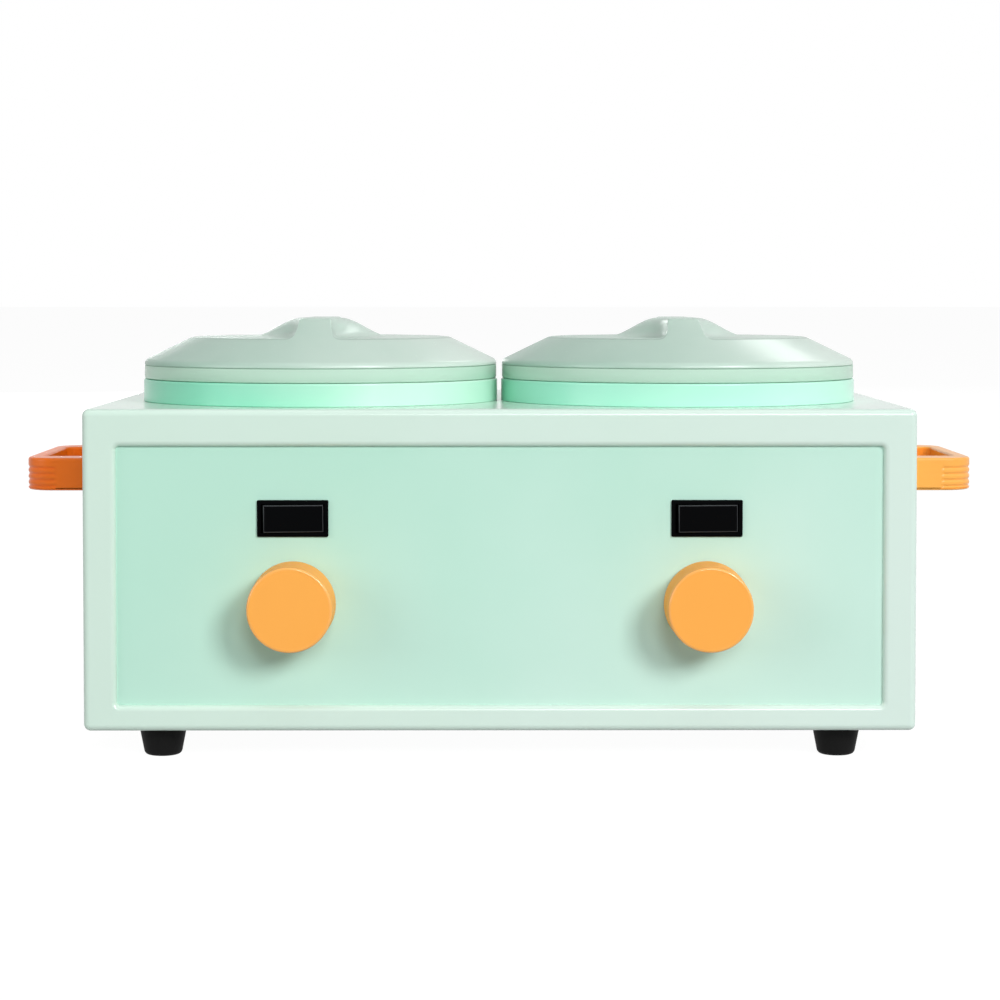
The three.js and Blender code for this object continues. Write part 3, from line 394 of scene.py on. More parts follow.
# Bright zinc plating: small spangles, sharp and dull by turns, under a faint yellowish film
zinc, tree = blank_material("screw_zinc_plated_steel")
spangle_size = 0.9 * MM
film_size = 5 * MM
place = add_node(tree, "ShaderNodeTexCoord").outputs["Object"]
spangle = add_node(tree, "ShaderNodeTexVoronoi", {"Vector": place, "Scale": 1 / spangle_size})
gloss = add_node(tree, "ShaderNodeMapRange", {
    "Value": spangle.outputs["Distance"], "To Min": 0.24, "To Max": 0.42,
})
film = add_node(tree, "ShaderNodeTexNoise", {"Vector": place, "Scale": 1 / film_size})
tint = add_node(tree, "ShaderNodeValToRGB", {"Fac": film.outputs["Fac"]})
tint.color_ramp.elements[0].color = linear("#a9abb0")
tint.color_ramp.elements[1].color = linear("#c4c3ba")
shader = add_node(tree, "ShaderNodeBsdfPrincipled", {
    "Base Color": tint.outputs["Color"], "Roughness": gloss.outputs["Result"], "Metallic": 1.0,
})
add_node(tree, "ShaderNodeOutputMaterial", {"Surface": shader.outputs["BSDF"]})

foot_top = 13.8
foot_top_radius = 10.7
tread_radius = 8.0
tread_fillet = 2.2
screw_hole = 1.8
counterbore_radius = 3.2
counterbore_depth = 6.2
counterbore_fillet = 0.4
foot_segments = 64
for end in ("front", "back"):
    for side in sides:
        low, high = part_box(f"foot_{end}_{side}")
        foot = turned([
            (screw_hole, foot_top, 0), (screw_hole, counterbore_depth, 0),
            (counterbore_radius, counterbore_depth, 0), (counterbore_radius, 0, counterbore_fillet),
            (tread_radius, 0, tread_fillet), (foot_top_radius, foot_top, 0),
        ], foot_segments)
        placed(foot, (low.x + high.x) / 2, (low.y + high.y) / 2)
        dressed(f"rubber_foot_{end}_{side}", foot, [foot_rubber], "case",
                [f"foot_{end}_{side}"])
        refinished(zinc, f"foot_screw_{end}_{side}")

# Collars
# A bright mint ring moulded in glossy ABS stands on the deck round each well, with a spigot down through
# the deck and a ledge inside that carries the well's flange.
collar_wall = 5.7
collar_fillet = 0.5
collar_top_fillet = 0.8
deck_gap = 0.02
ledge_depth = 6.0
ledge_width = 6.0
ledge_fillet = 0.3
spigot_wall = 3.6
collar_segments = 160
collar_radius = (collar_high.x - collar_low.x) / 2 / MM
collar_bore = collar_radius - collar_wall
spigot_bore = collar_bore - ledge_width
collar_top = collar_high.z / MM
collar_foot = case_high.z / MM + deck_gap
spigot_foot = collar_low.z / MM
ledge = collar_top - ledge_depth
painted_haze_shift = 4 * MM
collar_painted_tones = {"left": ("#8ae0c0", "#c8f4df", 6.0), "right": ("#a2eed2", "#c0f4df", 4.0)}
for side, sign in sides.items():
    # Bright mint ABS with painted light and shade: paler towards the right, deeper on the left, in painted
    # tones of its own on each side
    low, high, painted_haze = collar_painted_tones[side]
    collar_abs_painted_light = moulded_plastic(
        f"collar_glossy_abs_painted_light_{side}", low, high, roughness=0.24, grain=1.6 * MM, grain_depth=0.008 * MM,
        fade=(painted_haze, 0, 0), centre=(sign * well_place.x - painted_haze_shift, 0, 0),
    )
    collar = turned([
        (spigot_bore + spigot_wall, collar_foot, 0), (collar_radius, collar_foot, collar_fillet),
        (collar_radius, collar_top, collar_top_fillet), (collar_bore, collar_top, collar_fillet),
        (collar_bore, ledge, 0), (spigot_bore, ledge, ledge_fillet),
        (spigot_bore, spigot_foot, 0), (spigot_bore + spigot_wall, spigot_foot, 0),
    ], collar_segments)
    placed(collar, sign * well_place.x, well_place.y)
    dressed(f"deck_collar_{side}", collar, [collar_abs_painted_light], "case", [f"collar_{side}"])

# Wells and their heaters
# Each well is a spun aluminium cup hung by its flange on the collar's ledge. A split mica band heater is
# clamped round it, and a disc cut-out is pressed to its underside.
def spun_metal(name, low, high, roughness, ring, ring_depth, centre):
    """Sheet metal spun on a lathe: fine rings round the axis, brighter and duller by turns.

    The rings are drawn a few times as wide as a real tool leaves them, so that they show.
    """
    material, tree = blank_material(name)
    place = add_node(tree, "ShaderNodeTexCoord").outputs["Object"]
    centred = add_node(tree, "ShaderNodeMapping", {"Vector": place, "Location": (-centre.x, -centre.y, 0)})
    rings = add_node(tree, "ShaderNodeTexWave", {
        "Vector": centred.outputs["Vector"], "Scale": 0.5 / ring, "Distortion": 0.6,
        "Detail": 2.0, "Detail Scale": 2.0,
    }, wave_type="RINGS", rings_direction="Z")
    tone = add_node(tree, "ShaderNodeValToRGB", {"Fac": rings.outputs["Fac"]})
    tone.color_ramp.elements[0].color = linear(low)
    tone.color_ramp.elements[1].color = linear(high)
    gloss = add_node(tree, "ShaderNodeMapRange", {
        "Value": rings.outputs["Fac"], "To Min": roughness * 0.85, "To Max": roughness * 1.2,
    })
    bump = add_node(tree, "ShaderNodeBump", {
        "Height": rings.outputs["Fac"], "Strength": 0.5, "Distance": ring_depth,
    })
    shader = add_node(tree, "ShaderNodeBsdfPrincipled", {
        "Base Color": tone.outputs["Color"], "Roughness": gloss.outputs["Result"], "Metallic": 1.0,
        "Normal": bump.outputs["Normal"],
    })
    add_node(tree, "ShaderNodeOutputMaterial", {"Surface": shader.outputs["BSDF"]})
    return material


def cup(radius, wall, foot, flange_foot, fillet):
    """A flanged cup, whose floor meets its outer wall in a fillet."""
    return turned([
        (0, foot, 0), (radius, foot, fillet), (radius, flange_foot, flange_fillet),
        (flange_radius, flange_foot, 0), (flange_radius, flange_foot + wall, flange_edge),
        (radius - wall, flange_foot + wall, mouth_fillet), (radius - wall, foot + wall, fillet - wall),
        (0, foot + wall, 0),
    ], cup_segments, cup_arc_steps)


seat_gap = 0.2
bore_gap = 0.3
flange_radius = collar_bore - bore_gap
flange_fillet = 0.6
flange_edge = 0.3
mouth_fillet = 1.4
cup_segments = 128
cup_arc_steps = 8
well_wall = 1.5
well_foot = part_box("well_right")[0].z / MM
well_flange = ledge + seat_gap
well_gap = 2.4
well_radius = spigot_bore - well_gap
floor_fillet = 8.0

# Stainless cover sheet over the mica, worn dull by heat, with a straw tint here and there
band_steel, tree = blank_material("heater_band_rolled_steel")
streak_length = 16 * MM
streak_narrowing = 30
heat_mark = 24 * MM
place = add_node(tree, "ShaderNodeTexCoord").outputs["Object"]
drawn = add_node(tree, "ShaderNodeMapping", {"Vector": place, "Scale": (1, 1, streak_narrowing)})
streak = add_node(tree, "ShaderNodeTexNoise", {
    "Vector": drawn.outputs["Vector"], "Scale": 1 / streak_length,
})
heat = add_node(tree, "ShaderNodeTexNoise", {"Vector": place, "Scale": 1 / heat_mark})
tint = add_node(tree, "ShaderNodeValToRGB", {"Fac": heat.outputs["Fac"]})
tint.color_ramp.elements[0].color = linear("#8c8e92")
tint.color_ramp.elements[1].color = linear("#a59f8f")
gloss = add_node(tree, "ShaderNodeMapRange", {"Value": streak.outputs["Fac"], "To Min": 0.3, "To Max": 0.55})
shader = add_node(tree, "ShaderNodeBsdfPrincipled", {
    "Base Color": tint.outputs["Color"], "Roughness": gloss.outputs["Result"], "Metallic": 1.0,
})
add_node(tree, "ShaderNodeOutputMaterial", {"Surface": shader.outputs["BSDF"]})
# Brown phenolic moulding with a faint flour fleck
bakelite = moulded_plastic(
    "control_brown_bakelite", "#251d18", "#33271f", roughness=0.45, grain=0.8 * MM, grain_depth=0.02 * MM,
)
for side, sign in sides.items():
    middle = Vector((sign * well_place.x, well_place.y, 0))
    # Plain spun aluminium, left dull because the pot hides it
    well_metal = spun_metal(
        f"well_spun_aluminium_{side}", "#b4b7ba", "#c6c9cc", roughness=0.42, ring=1.4 * MM,
        ring_depth=0.01 * MM, centre=middle,
    )
    well = cup(well_radius, well_wall, well_foot, well_flange, floor_fillet + well_wall)
    placed(well, middle.x, middle.y)
    dressed(f"well_cup_{side}", well, [well_metal], "case", [f"well_{side}"])
    refinished(band_steel, f"heater_band_{side}")
    refinished(bakelite, f"thermal_cutout_{side}")

# Pots
# Lift-out cups that hold the paste, spun from thin aluminium with a rolled flange. Each stands in its well
# with its flange on the well's, and lifts straight out.
pot_wall = 1.2
pot_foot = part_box("pot_right")[0].z / MM
pot_flange = well_flange + well_wall + seat_gap
pot_gap = 1.0
pot_radius = well_radius - well_wall - pot_gap
for side, sign in sides.items():
    middle = Vector((sign * well_place.x, well_place.y, 0))
    # Satin anodised aluminium, brighter and smoother than the well
    pot_metal = spun_metal(
        f"pot_spun_aluminium_{side}", "#cfd1d3", "#dfe0e1", roughness=0.28, ring=1.1 * MM,
        ring_depth=0.008 * MM, centre=middle,
    )
    pot = cup(pot_radius, pot_wall, pot_foot, pot_flange, floor_fillet)
    placed(pot, middle.x, middle.y)
    dressed(f"pot_cup_{side}", pot, [pot_metal], f"pot_{side}", [f"pot_{side}"])

# Lids
# Frosted polypropylene, moulded about 2 mm thick: a shallow cone cut off level, with a pinch ridge left
# standing between two scooped flats. The ridge is wide and gentle in the middle and steep at its ends.
lid_low, lid_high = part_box("lid_right")
lid_foot = collar_top + seat_gap
lid_radius = (lid_high.x - lid_low.x) / 2 / MM
lid_top = lid_high.z / MM - lid_foot
lid_flat = 19.1
lid_skirt = 6.6
lid_shoulder = 2.8
lid_slope = 0.485
lid_wall = 2.0
ridge_top_width = 16.0
ridge_foot_width = 66.0
ridge_end_top_width = 14.0
ridge_end_width = 27.0
ridge_bend = 9.2
ridge_blend = 46.0
ridge_end_lean_share = 0.1
ridge_end_foot_share = 0.35
ridge_corner = 1.3
ridge_corner_share = 0.1
cone_blend = 0.8
# Width and fading of the painted shade along the scoops' creases
crease_shade_width = 0.5
crease_shade_fading = 1.4
disc_radius = 66.0
disc_rows = 190
disc_rounds = 6
top_columns = 6
corner_columns = 5
flank_columns = 24
flat_columns = 42
disc_columns = top_columns + corner_columns + flank_columns + flat_columns

slope_angle = math.atan(lid_slope)
touch_radius = lid_radius - lid_shoulder + lid_shoulder * math.sin(slope_angle)
touch_height = lid_skirt + lid_shoulder * math.cos(slope_angle)


def mixed(low, high, share):
    """The value that lies a share of the way from low to high."""
    return low + (high - low) * share


def bezier(points, share):
    """De Casteljau's point of a Bezier curve."""
    while len(points) > 1:
        points = [here.lerp(ahead, share) for here, ahead in zip(points, points[1:])]
    return points[0]


def ridge_middle(y):
    """How much of the ridge's middle form the section at y has: 1 in the middle and 0 at the ends."""
    return math.cos(min(abs(y) / ridge_blend, 1) * math.pi / 2) ** 2


def ridge_top(y):
    """Half the width of the ridge's top at y."""
    return mixed(ridge_end_top_width, ridge_top_width, ridge_middle(y)) / 2


def flank(y, share):
    """A point of the ridge's flank, from its top edge to its foot, in the section at y."""
    middle = ridge_middle(y)
    rise = lid_top - lid_flat
    top = ridge_top(y)
    foot = mixed(ridge_end_width, ridge_foot_width, middle) / 2
    turn = top + rise * ridge_end_lean_share
    end_height = lid_flat + rise * ridge_end_foot_share
    return bezier([
        Vector((top, lid_top)),
        Vector((mixed(turn, top + ridge_bend, middle), mixed(end_height, lid_top, middle))),
        Vector((mixed(turn, foot - ridge_bend, middle), lid_flat)),
        Vector((foot, lid_flat)),
    ], share)


def section(column, y, edge):
    """Where a column of the mesh lies in the ridge's section at y: its x and its height."""
    corner = Vector((ridge_top(y), lid_top))
    start = corner - Vector((ridge_corner, 0))
    if column <= top_columns:
        return Vector((start.x * column / top_columns, lid_top))
    column -= top_columns
    if column <= corner_columns:
        return bezier([start, corner, flank(y, ridge_corner_share)], column / corner_columns)
    column -= corner_columns
    if column <= flank_columns:
        return flank(y, mixed(ridge_corner_share, 1, column / flank_columns))
    column -= flank_columns
    return Vector((mixed(flank(y, 1).x, edge, column / flat_columns), lid_flat))


def lid_surface(column, row):
    """The lid's outer surface inside the disc from a column and a row of the mesh, and the painted shade of
    its creases.

    The square grid of columns and rows is drawn out onto the disc, so that its rows bow towards the rim.
    """
    across = column / disc_columns
    along = row / disc_rows * 2
    edge = disc_radius * math.sqrt(1 - along * along / 2)
    y = along * disc_radius
    for _ in range(disc_rounds):
        point = section(abs(column), y, edge)
        y = along * disc_radius * math.sqrt(max(0, 1 - (point.x / edge) ** 2 / 2))
    radius = math.hypot(point.x, y)
    cone = touch_height + (touch_radius - radius) * lid_slope
    near = min(max(0.5 + 0.5 * (cone - point.y) / cone_blend, 0), 1)
    height = mixed(cone, point.y, near) - cone_blend * near * (1 - near)
    crease_shade = max(0, 1 - abs(cone - point.y + crease_shade_width / 2) / crease_shade_width)
    crease_shade *= max(0, 1 - crease_shade_fading * (point.y - lid_flat) / (lid_top - lid_flat))
    return Vector((math.copysign(point.x, across), y, height)), crease_shade


lid_shell = bmesh.new()
bmesh.ops.create_grid(lid_shell, x_segments=2 * disc_columns, y_segments=disc_rows, size=0.5)
crease_shade_mark = lid_shell.verts.layers.float.new("crease_shade")
for vert in lid_shell.verts:
    vert.co, vert[crease_shade_mark] = lid_surface(round(vert.co.x * 2 * disc_columns), vert.co.y * disc_rows)

# From the disc the shell grows ring by ring: the cone, the shoulder, the groove and the skirt's rounded foot
shoulder_steps = 6
groove_land = 0.1
groove_depth = 0.6
groove_height = 0.45
groove_slant = 0.15
# How much painted shade the groove's inner wall gets
groove_shade = 0.7
skirt_foot = [(0, 0.5), (0.35, 0.1), (0.6, 0)]
rings = [(touch_radius, touch_height)]
for step in range(1, shoulder_steps + 1):
    angle = math.pi / 2 - slope_angle - (math.pi / 2 - slope_angle) * step / shoulder_steps
    radius = lid_radius - lid_shoulder + lid_shoulder * math.cos(angle)
    rings.append((radius, lid_skirt + lid_shoulder * math.sin(angle)))
rings += [
    (lid_radius, lid_skirt - groove_land), (lid_radius - groove_depth, lid_skirt - groove_land * 2),
    (lid_radius - groove_depth, lid_skirt - groove_height),
    (lid_radius, lid_skirt - groove_height - groove_slant),
]
rings += [(lid_radius - inset, height) for inset, height in skirt_foot]
for radius, height in rings:
    rim_edges = [edge for edge in lid_shell.edges if edge.is_boundary]
    grown = bmesh.ops.extrude_edge_only(lid_shell, edges=rim_edges)
    for vert in grown["geom"]:
        if isinstance(vert, bmesh.types.BMVert):
            flat = Vector(vert.co.xy).normalized() * radius
            vert.co = Vector((flat.x, flat.y, height))
            # Vertices inside the groove get painted shade
            in_groove = height < lid_skirt and radius == lid_radius - groove_depth
            vert[crease_shade_mark] = groove_shade * float(in_groove)
bmesh.ops.recalc_face_normals(lid_shell, faces=lid_shell.faces)
if max(lid_shell.faces, key=lambda face: face.calc_center_median().z).normal.z < 0:
    bmesh.ops.reverse_faces(lid_shell, faces=lid_shell.faces)
bmesh.ops.scale(lid_shell, vec=(MM, MM, MM), verts=lid_shell.verts)
lid_shell_mesh = as_mesh(lid_shell, "lid_shell")


def frosted_polypropylene(name, centre):
    """Frosted polypropylene: milky and greyer on top, with painted light paling it to the right, a skirt
    painted mint for the collar behind it, and painted shade in its creases.
    """
    cloud_size = 45 * MM
    frost_size = 1.1 * MM
    frost_depth = 0.008 * MM
    painted_haze = (4.0, 0, 0)
    material, tree = blank_material(name)
    place = add_node(tree, "ShaderNodeTexCoord").outputs["Object"]
    # The milk's slope is painted light: the lid is painted paler towards the right
    drift = drifting(tree, place, cloud_size, 3.0, 0.15, painted_haze, centre)
    milk_and_painted_light = add_node(tree, "ShaderNodeValToRGB", {"Fac": drift})
    milk_and_painted_light.color_ramp.elements[0].position = 0.2
    milk_and_painted_light.color_ramp.elements[0].color = linear("#bcdccd")
    milk_and_painted_light.color_ramp.elements[1].position = 0.8
    milk_and_painted_light.color_ramp.elements[1].color = linear("#e8f6ee")
    # The skirt under the groove is painted mint, a painted stand-in for the collar's light seen through it
    height = add_node(tree, "ShaderNodeSeparateXYZ", {"Vector": place}).outputs["Z"]
    painted_collar_tint = add_node(tree, "ShaderNodeMapRange", {
        "Value": height, "From Min": (lid_foot + lid_skirt - groove_height) * MM,
        "From Max": (lid_foot + lid_skirt) * MM, "To Min": 1.0, "To Max": 0.0,
    })
    tone = add_node(tree, "ShaderNodeMixRGB", {
        "Fac": painted_collar_tint.outputs["Result"], "Color1": milk_and_painted_light.outputs["Color"], "Color2": linear("#dcf8e8"),
    })
    # Painted shade darkens the creases at the foot of the scoops and the groove over the skirt
    crease_shade = add_node(tree, "ShaderNodeAttribute", attribute_name="crease_shade")
    crease_shade_share = add_node(tree, "ShaderNodeMath", {0: crease_shade.outputs["Fac"], 1: 0.45},
                            operation="MULTIPLY")
    tone = add_node(tree, "ShaderNodeMixRGB", {
        "Fac": crease_shade_share.outputs["Value"], "Color1": tone.outputs["Color"], "Color2": linear("#5f8474"),
    })
    frost = add_node(tree, "ShaderNodeTexNoise", {"Vector": place, "Scale": 1 / frost_size, "Detail": 3.0})
    gloss = add_node(tree, "ShaderNodeMapRange", {
        "Value": frost.outputs["Fac"], "To Min": 0.2, "To Max": 0.3,
    })
    bump = add_node(tree, "ShaderNodeBump", {
        "Height": frost.outputs["Fac"], "Strength": 0.3, "Distance": frost_depth,
    })
    shader = add_node(tree, "ShaderNodeBsdfPrincipled", {
        "Base Color": tone.outputs["Color"], "Roughness": gloss.outputs["Result"],
        "Normal": bump.outputs["Normal"], "IOR": 1.49, "Transmission Weight": 0.08,
    })
    through = add_node(tree, "ShaderNodeBsdfTranslucent", {"Color": tone.outputs["Color"]})
    milky = add_node(tree, "ShaderNodeMixShader", {
        0: 0.22, 1: shader.outputs["BSDF"], 2: through.outputs["BSDF"],
    })
    add_node(tree, "ShaderNodeOutputMaterial", {"Surface": milky.outputs["Shader"]})
    return material


# The rim that drops into the collar's bore and centres the lid
rim_radius = collar_bore - bore_gap
rim_wall = 2.0
rim_depth = 2.9
rim_fillet = 0.4
rim_segments = 160
rim_top = touch_height + (touch_radius - rim_radius) * lid_slope - lid_wall
for side, sign in sides.items():
    lid_pp_painted_light = frosted_polypropylene(f"lid_frosted_polypropylene_painted_light_{side}", (sign * well_place.x, 0, 0))
    lid = bmesh.new()
    lid.from_mesh(lid_shell_mesh)
    bmesh.ops.solidify(lid, geom=lid.faces[:], thickness=lid_wall * MM)
    rim = turned([
        (rim_radius - rim_wall, -rim_depth, rim_fillet), (rim_radius, -rim_depth, rim_fillet),
        (rim_radius, rim_top, 0), (rim_radius - rim_wall, rim_top, 0),
    ], rim_segments)
    lid.from_mesh(as_mesh(rim, "rim"))
    placed(lid, sign * well_place.x, well_place.y, lid_foot * MM)
    dressed(f"frosted_lid_{side}", lid, [lid_pp_painted_light], f"lid_{side}", [f"lid_{side}"],
            sharp=50.0, even=False)

# Heat knobs and their thermostats
# Plain orange ABS knobs, hollow behind, pushed on the D-cut shafts of two capillary thermostats. A nut on
# each threaded bush clamps the thermostat to the panel.

# Orange ABS with a satin skin, even and almost without reflections
knob_abs = moulded_plastic(
    "knob_satin_abs", "#ffae50", "#ffb356", roughness=0.5, grain=1.3 * MM, grain_depth=0.012 * MM,
    **{"Specular IOR Level": 0.05},
)
# The front edge, polished by fingers
knob_rub = moulded_plastic(
    "knob_polished_abs_edge", "#ffae50", "#ffb356", roughness=0.16, grain=1.3 * MM, grain_depth=0.004 * MM,
)
knob_low, knob_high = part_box("knob_right")
knob_length = (knob_high.y - knob_low.y) / MM
knob_face = 18.2
knob_back = 18.6
knob_wall = 2.4
knob_front = 3.0
knob_edge = 1.1
knob_fillet = 0.3
cavity_top = knob_length - knob_front
cavity_fillet = 1.0
hub_radius = 5.6
hub_length = 13.0
hub_fillet = 0.6
hub_foot = cavity_top - hub_length
bore_radius = 3.15
bore_top = 16.6
knob_segments = 128
knob_arc_steps = 8
for side in sides:
    low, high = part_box(f"knob_{side}")
    knob = turned([
        (0, knob_length, 0), (0, bore_top, 0), (bore_radius, bore_top, 0),
        (bore_radius, hub_foot, knob_fillet), (hub_radius, hub_foot, knob_fillet),
        (hub_radius, cavity_top, hub_fillet), (knob_face - knob_wall, cavity_top, cavity_fillet),
        (knob_back - knob_wall, 0, knob_fillet), (knob_back, 0, knob_fillet),
        (knob_face, knob_length, knob_edge),
    ], knob_segments, knob_arc_steps)
    for face in knob.faces:
        middle = face.calc_center_median() / MM
        on_edge = middle.z > knob_length - knob_edge and middle.xy.length > knob_face - knob_edge
        face.material_index = int(on_edge)
    bmesh.ops.rotate(knob, cent=(0, 0, 0), matrix=Matrix.Rotation(math.pi / 2, 3, "X"), verts=knob.verts)
    placed(knob, (low.x + high.x) / 2, high.y, (low.z + high.z) / 2)
    dressed(f"heat_knob_{side}", knob, [knob_abs, knob_rub], f"knob_{side}",
            [f"knob_{side}"])
    refinished(zinc, f"knob_shaft_{side}", f"thermostat_nut_{side}")
    refinished(bakelite, f"thermostat_{side}")

# Rocker switches
# Snap-in switches in black nylon: a bezel against the panel, a body behind it and a rocker between two
# pins. Each rocker leans on its off side, and a painted highlight on its front edges draws a thin grey
# outline.

# Deep black nylon that gives back almost no light
black_nylon = moulded_plastic(
    "switch_black_nylon", "#020203", "#030405", roughness=0.55, grain=0.8 * MM, grain_depth=0.01 * MM,
    **{"Specular IOR Level": 0.02},
)
# The same nylon painted a lighter grey along the rocker's front edges: a painted highlight
highlight_nylon = moulded_plastic(
    "switch_nylon_painted_highlight_edge", "#282a2d", "#313336", roughness=0.5, grain=0.8 * MM, grain_depth=0.01 * MM,
    **{"Specular IOR Level": 0.2},
)
bezel_reach = 1.2 * MM
bezel_edge = 0.6 * MM
bezel_seat = 0.2 * MM
fillet_segments = 3
switch_body = Vector((29.2, 0, 14.2)) * MM
switch_depth = 14.5 * MM
pocket_size = Vector((27.3, 0, 12.4)) * MM
pocket_depth = 9.5 * MM
panel_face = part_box("front_panel")[0].y
bezel_face = panel_face - bezel_reach
rocker_lean = math.radians(6)
rocker_size = Vector((26.0, 0, 11.8)) * MM
rocker_face = 4.0 * MM
rocker_body = 6.4 * MM
rocker_edge = 0.45 * MM
rocker_taper_share = 0.62
pivot_depth = 1.4 * MM


def edges_at(bm, y):
    """The edges that lie in the upright plane at y."""
    return [edge for edge in bm.edges if all(abs(vert.co.y - y) < bezel_seat / 10 for vert in edge.verts)]


for side in sides:
    low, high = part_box(f"switch_body_{side}")
    middle = (low + high) / 2
    bezel = block((low.x, bezel_face, low.z), (high.x, panel_face - bezel_seat, high.z))
    corners = [edge for edge in bezel.edges if abs(edge.verts[0].co.y - edge.verts[1].co.y) > bezel_edge]
    round_edges(bezel, corners, bezel_edge, fillet_segments)
    round_edges(bezel, edges_at(bezel, bezel_face), bezel_edge, fillet_segments)
    body = block(
        (middle.x - switch_body.x / 2, panel_face - bezel_reach / 2, middle.z - switch_body.z / 2),
        (middle.x + switch_body.x / 2, panel_face + switch_depth, middle.z + switch_body.z / 2),
    )
    pocket = block(
        (middle.x - pocket_size.x / 2, bezel_face - overrun, middle.z - pocket_size.z / 2),
        (middle.x + pocket_size.x / 2, bezel_face + pocket_depth, middle.z + pocket_size.z / 2),
    )
    switch_mesh = carved(bezel, [pocket], [body])
    dressed(f"switch_bezel_{side}", switch_mesh, [black_nylon], "case",
            [f"switch_body_{side}"])

    rocker = block(
        (-rocker_size.x / 2, -rocker_face, -rocker_size.z / 2),
        (rocker_size.x / 2, rocker_body - rocker_face, rocker_size.z / 2),
    )
    # Behind the pivot the rocker narrows, which leaves it room to tip in its pocket
    for vert in rocker.verts:
        if vert.co.y > 0:
            vert.co.x *= rocker_taper_share
    cuts = bmesh.ops.bisect_plane(
        rocker, geom=rocker.verts[:] + rocker.edges[:] + rocker.faces[:], plane_co=(0, -pivot_depth, 0),
        plane_no=(0, 1, 0),
    )
    for item in cuts["geom_cut"]:
        if isinstance(item, bmesh.types.BMVert):
            item.co.x = math.copysign(rocker_size.x / 2, item.co.x)
    # The rocker's front edges get the painted-highlight grey
    round_edges(rocker, edges_at(rocker, -rocker_face), rocker_edge, fillet_segments, 1)
    bmesh.ops.rotate(rocker, cent=(0, 0, 0), matrix=Matrix.Rotation(rocker_lean, 3, "Z"), verts=rocker.verts)
    placed(rocker, middle.x, panel_face + pivot_depth, middle.z)
    dressed(f"switch_rocker_{side}", rocker, [black_nylon, highlight_nylon], f"rocker_{side}",
            [f"rocker_{side}"])

# Handles
# An orange ABS loop on each side wall, its two arms flared into feet that are screwed on from inside the
# case. Four finger grooves run round the outer end and fade out where the arms straighten.

# Orange ABS with a clear gloss that draws the grooves' edges. Its tone carries painted light and shade: pale
# on the right handle, deep on the left one.
handle_abs_painted_light = moulded_plastic(
    "handle_glossy_abs_painted_light", "#ff7a1a", "#ffb152", roughness=0.3, grain=1.6 * MM, grain_depth=0.008 * MM,
    fade=(2.2, 0, 0), **{"Specular IOR Level": 0.25},
)
# Painted shade and bounce light: inside the loop the orange is painted deeper
handle_inside_painted_shade = moulded_plastic(
    "handle_abs_inside_painted_shade", "#ff7818", "#ff9432", roughness=0.3, grain=1.6 * MM,
    grain_depth=0.008 * MM, fade=(1.5, 0, 0), **{"Specular IOR Level": 0.15},
)
handle_length = 101.5
handle_reach = 35.4
handle_height = 14.8
handle_corner = 13.3
handle_grip = 6.2
handle_arm = 16.5
handle_foot = 26.0
handle_inner = 4.0
handle_edge = 1.2
handle_seat = 0.2
near_wall = handle_seat * 1.5
flare_turn = 165
flare_share = 0.75
groove_count = 4
groove_pitch = 2.75
groove_drop = 1.4
groove_half = 1.0
groove_sink = 0.5
groove_start = 20.2
groove_fade = 1.2
corner_steps = 20
flare_steps = 10
inner_steps = 8
# A groove's section: shares of its half width across and of its depth down
groove_shares = ((-1, 0), (-0.5, 0.55), (0, 1), (0.5, 0.55), (1, 0))


def arc(x, y, radius, start, stop, steps):
    """Points of an arc round (x, y), between two angles in degrees."""
    turns = [math.radians(mixed(start, stop, step / steps)) for step in range(steps + 1)]
    return [Vector((x + radius * math.cos(turn), y + radius * math.sin(turn))) for turn in turns]


half = handle_length / 2
inner = half - handle_arm
flare = handle_foot - handle_arm
grip = handle_reach - handle_grip
handle_outline = [
    Vector((handle_seat, -half)),
    Vector((groove_start, -half)),
    Vector((groove_start + groove_fade, -half)),
    *arc(handle_reach - handle_corner, -half + handle_corner, handle_corner, -90, 0, corner_steps),
    *arc(handle_reach - handle_corner, half - handle_corner, handle_corner, 0, 90, corner_steps),
    Vector((groove_start + groove_fade, half)),
    Vector((groove_start, half)),
    Vector((handle_seat, half)),
    Vector((handle_seat, inner - flare * flare_share)),
    *arc(flare, inner - flare, flare, flare_turn, 90, flare_steps),
    *arc(grip - handle_inner, inner - handle_inner, handle_inner, 90, 0, inner_steps),
    *arc(grip - handle_inner, -inner + handle_inner, handle_inner, 0, -90, inner_steps),
    *arc(flare, -inner + flare, flare, -90, -flare_turn, flare_steps),
    Vector((handle_seat, -inner + flare * flare_share)),
]
# The outline's points from where the grooves begin on one arm, round the outer end, to the other arm
outer_end = range(1, 2 * corner_steps + 7)


def handle_ring(height, inset, sink):
    """The handle's outline at a height, drawn in all round by inset and round the outer end by sink."""
    ring = []
    count = len(handle_outline)
    for index, point in enumerate(handle_outline):
        back = (point - handle_outline[index - 1]).normalized()
        ahead = (handle_outline[(index + 1) % count] - point).normalized()
        along = (back + ahead).normalized()
        outward = Vector((along.y, -along.x))
        against_wall = point.x < near_wall
        if against_wall:
            outward = Vector((0, math.copysign(1, point.y) if abs(point.y) > inner else 0))
        grooved = index in outer_end and point.x > groove_start
        fade = min((point.x - groove_start) / groove_fade, 1) if grooved else 0
        point = point - outward * (inset + sink * fade)
        if not against_wall:
            point.x = max(point.x, near_wall)
        ring.append(Vector((point.x, point.y, height)) * MM)
    return ring


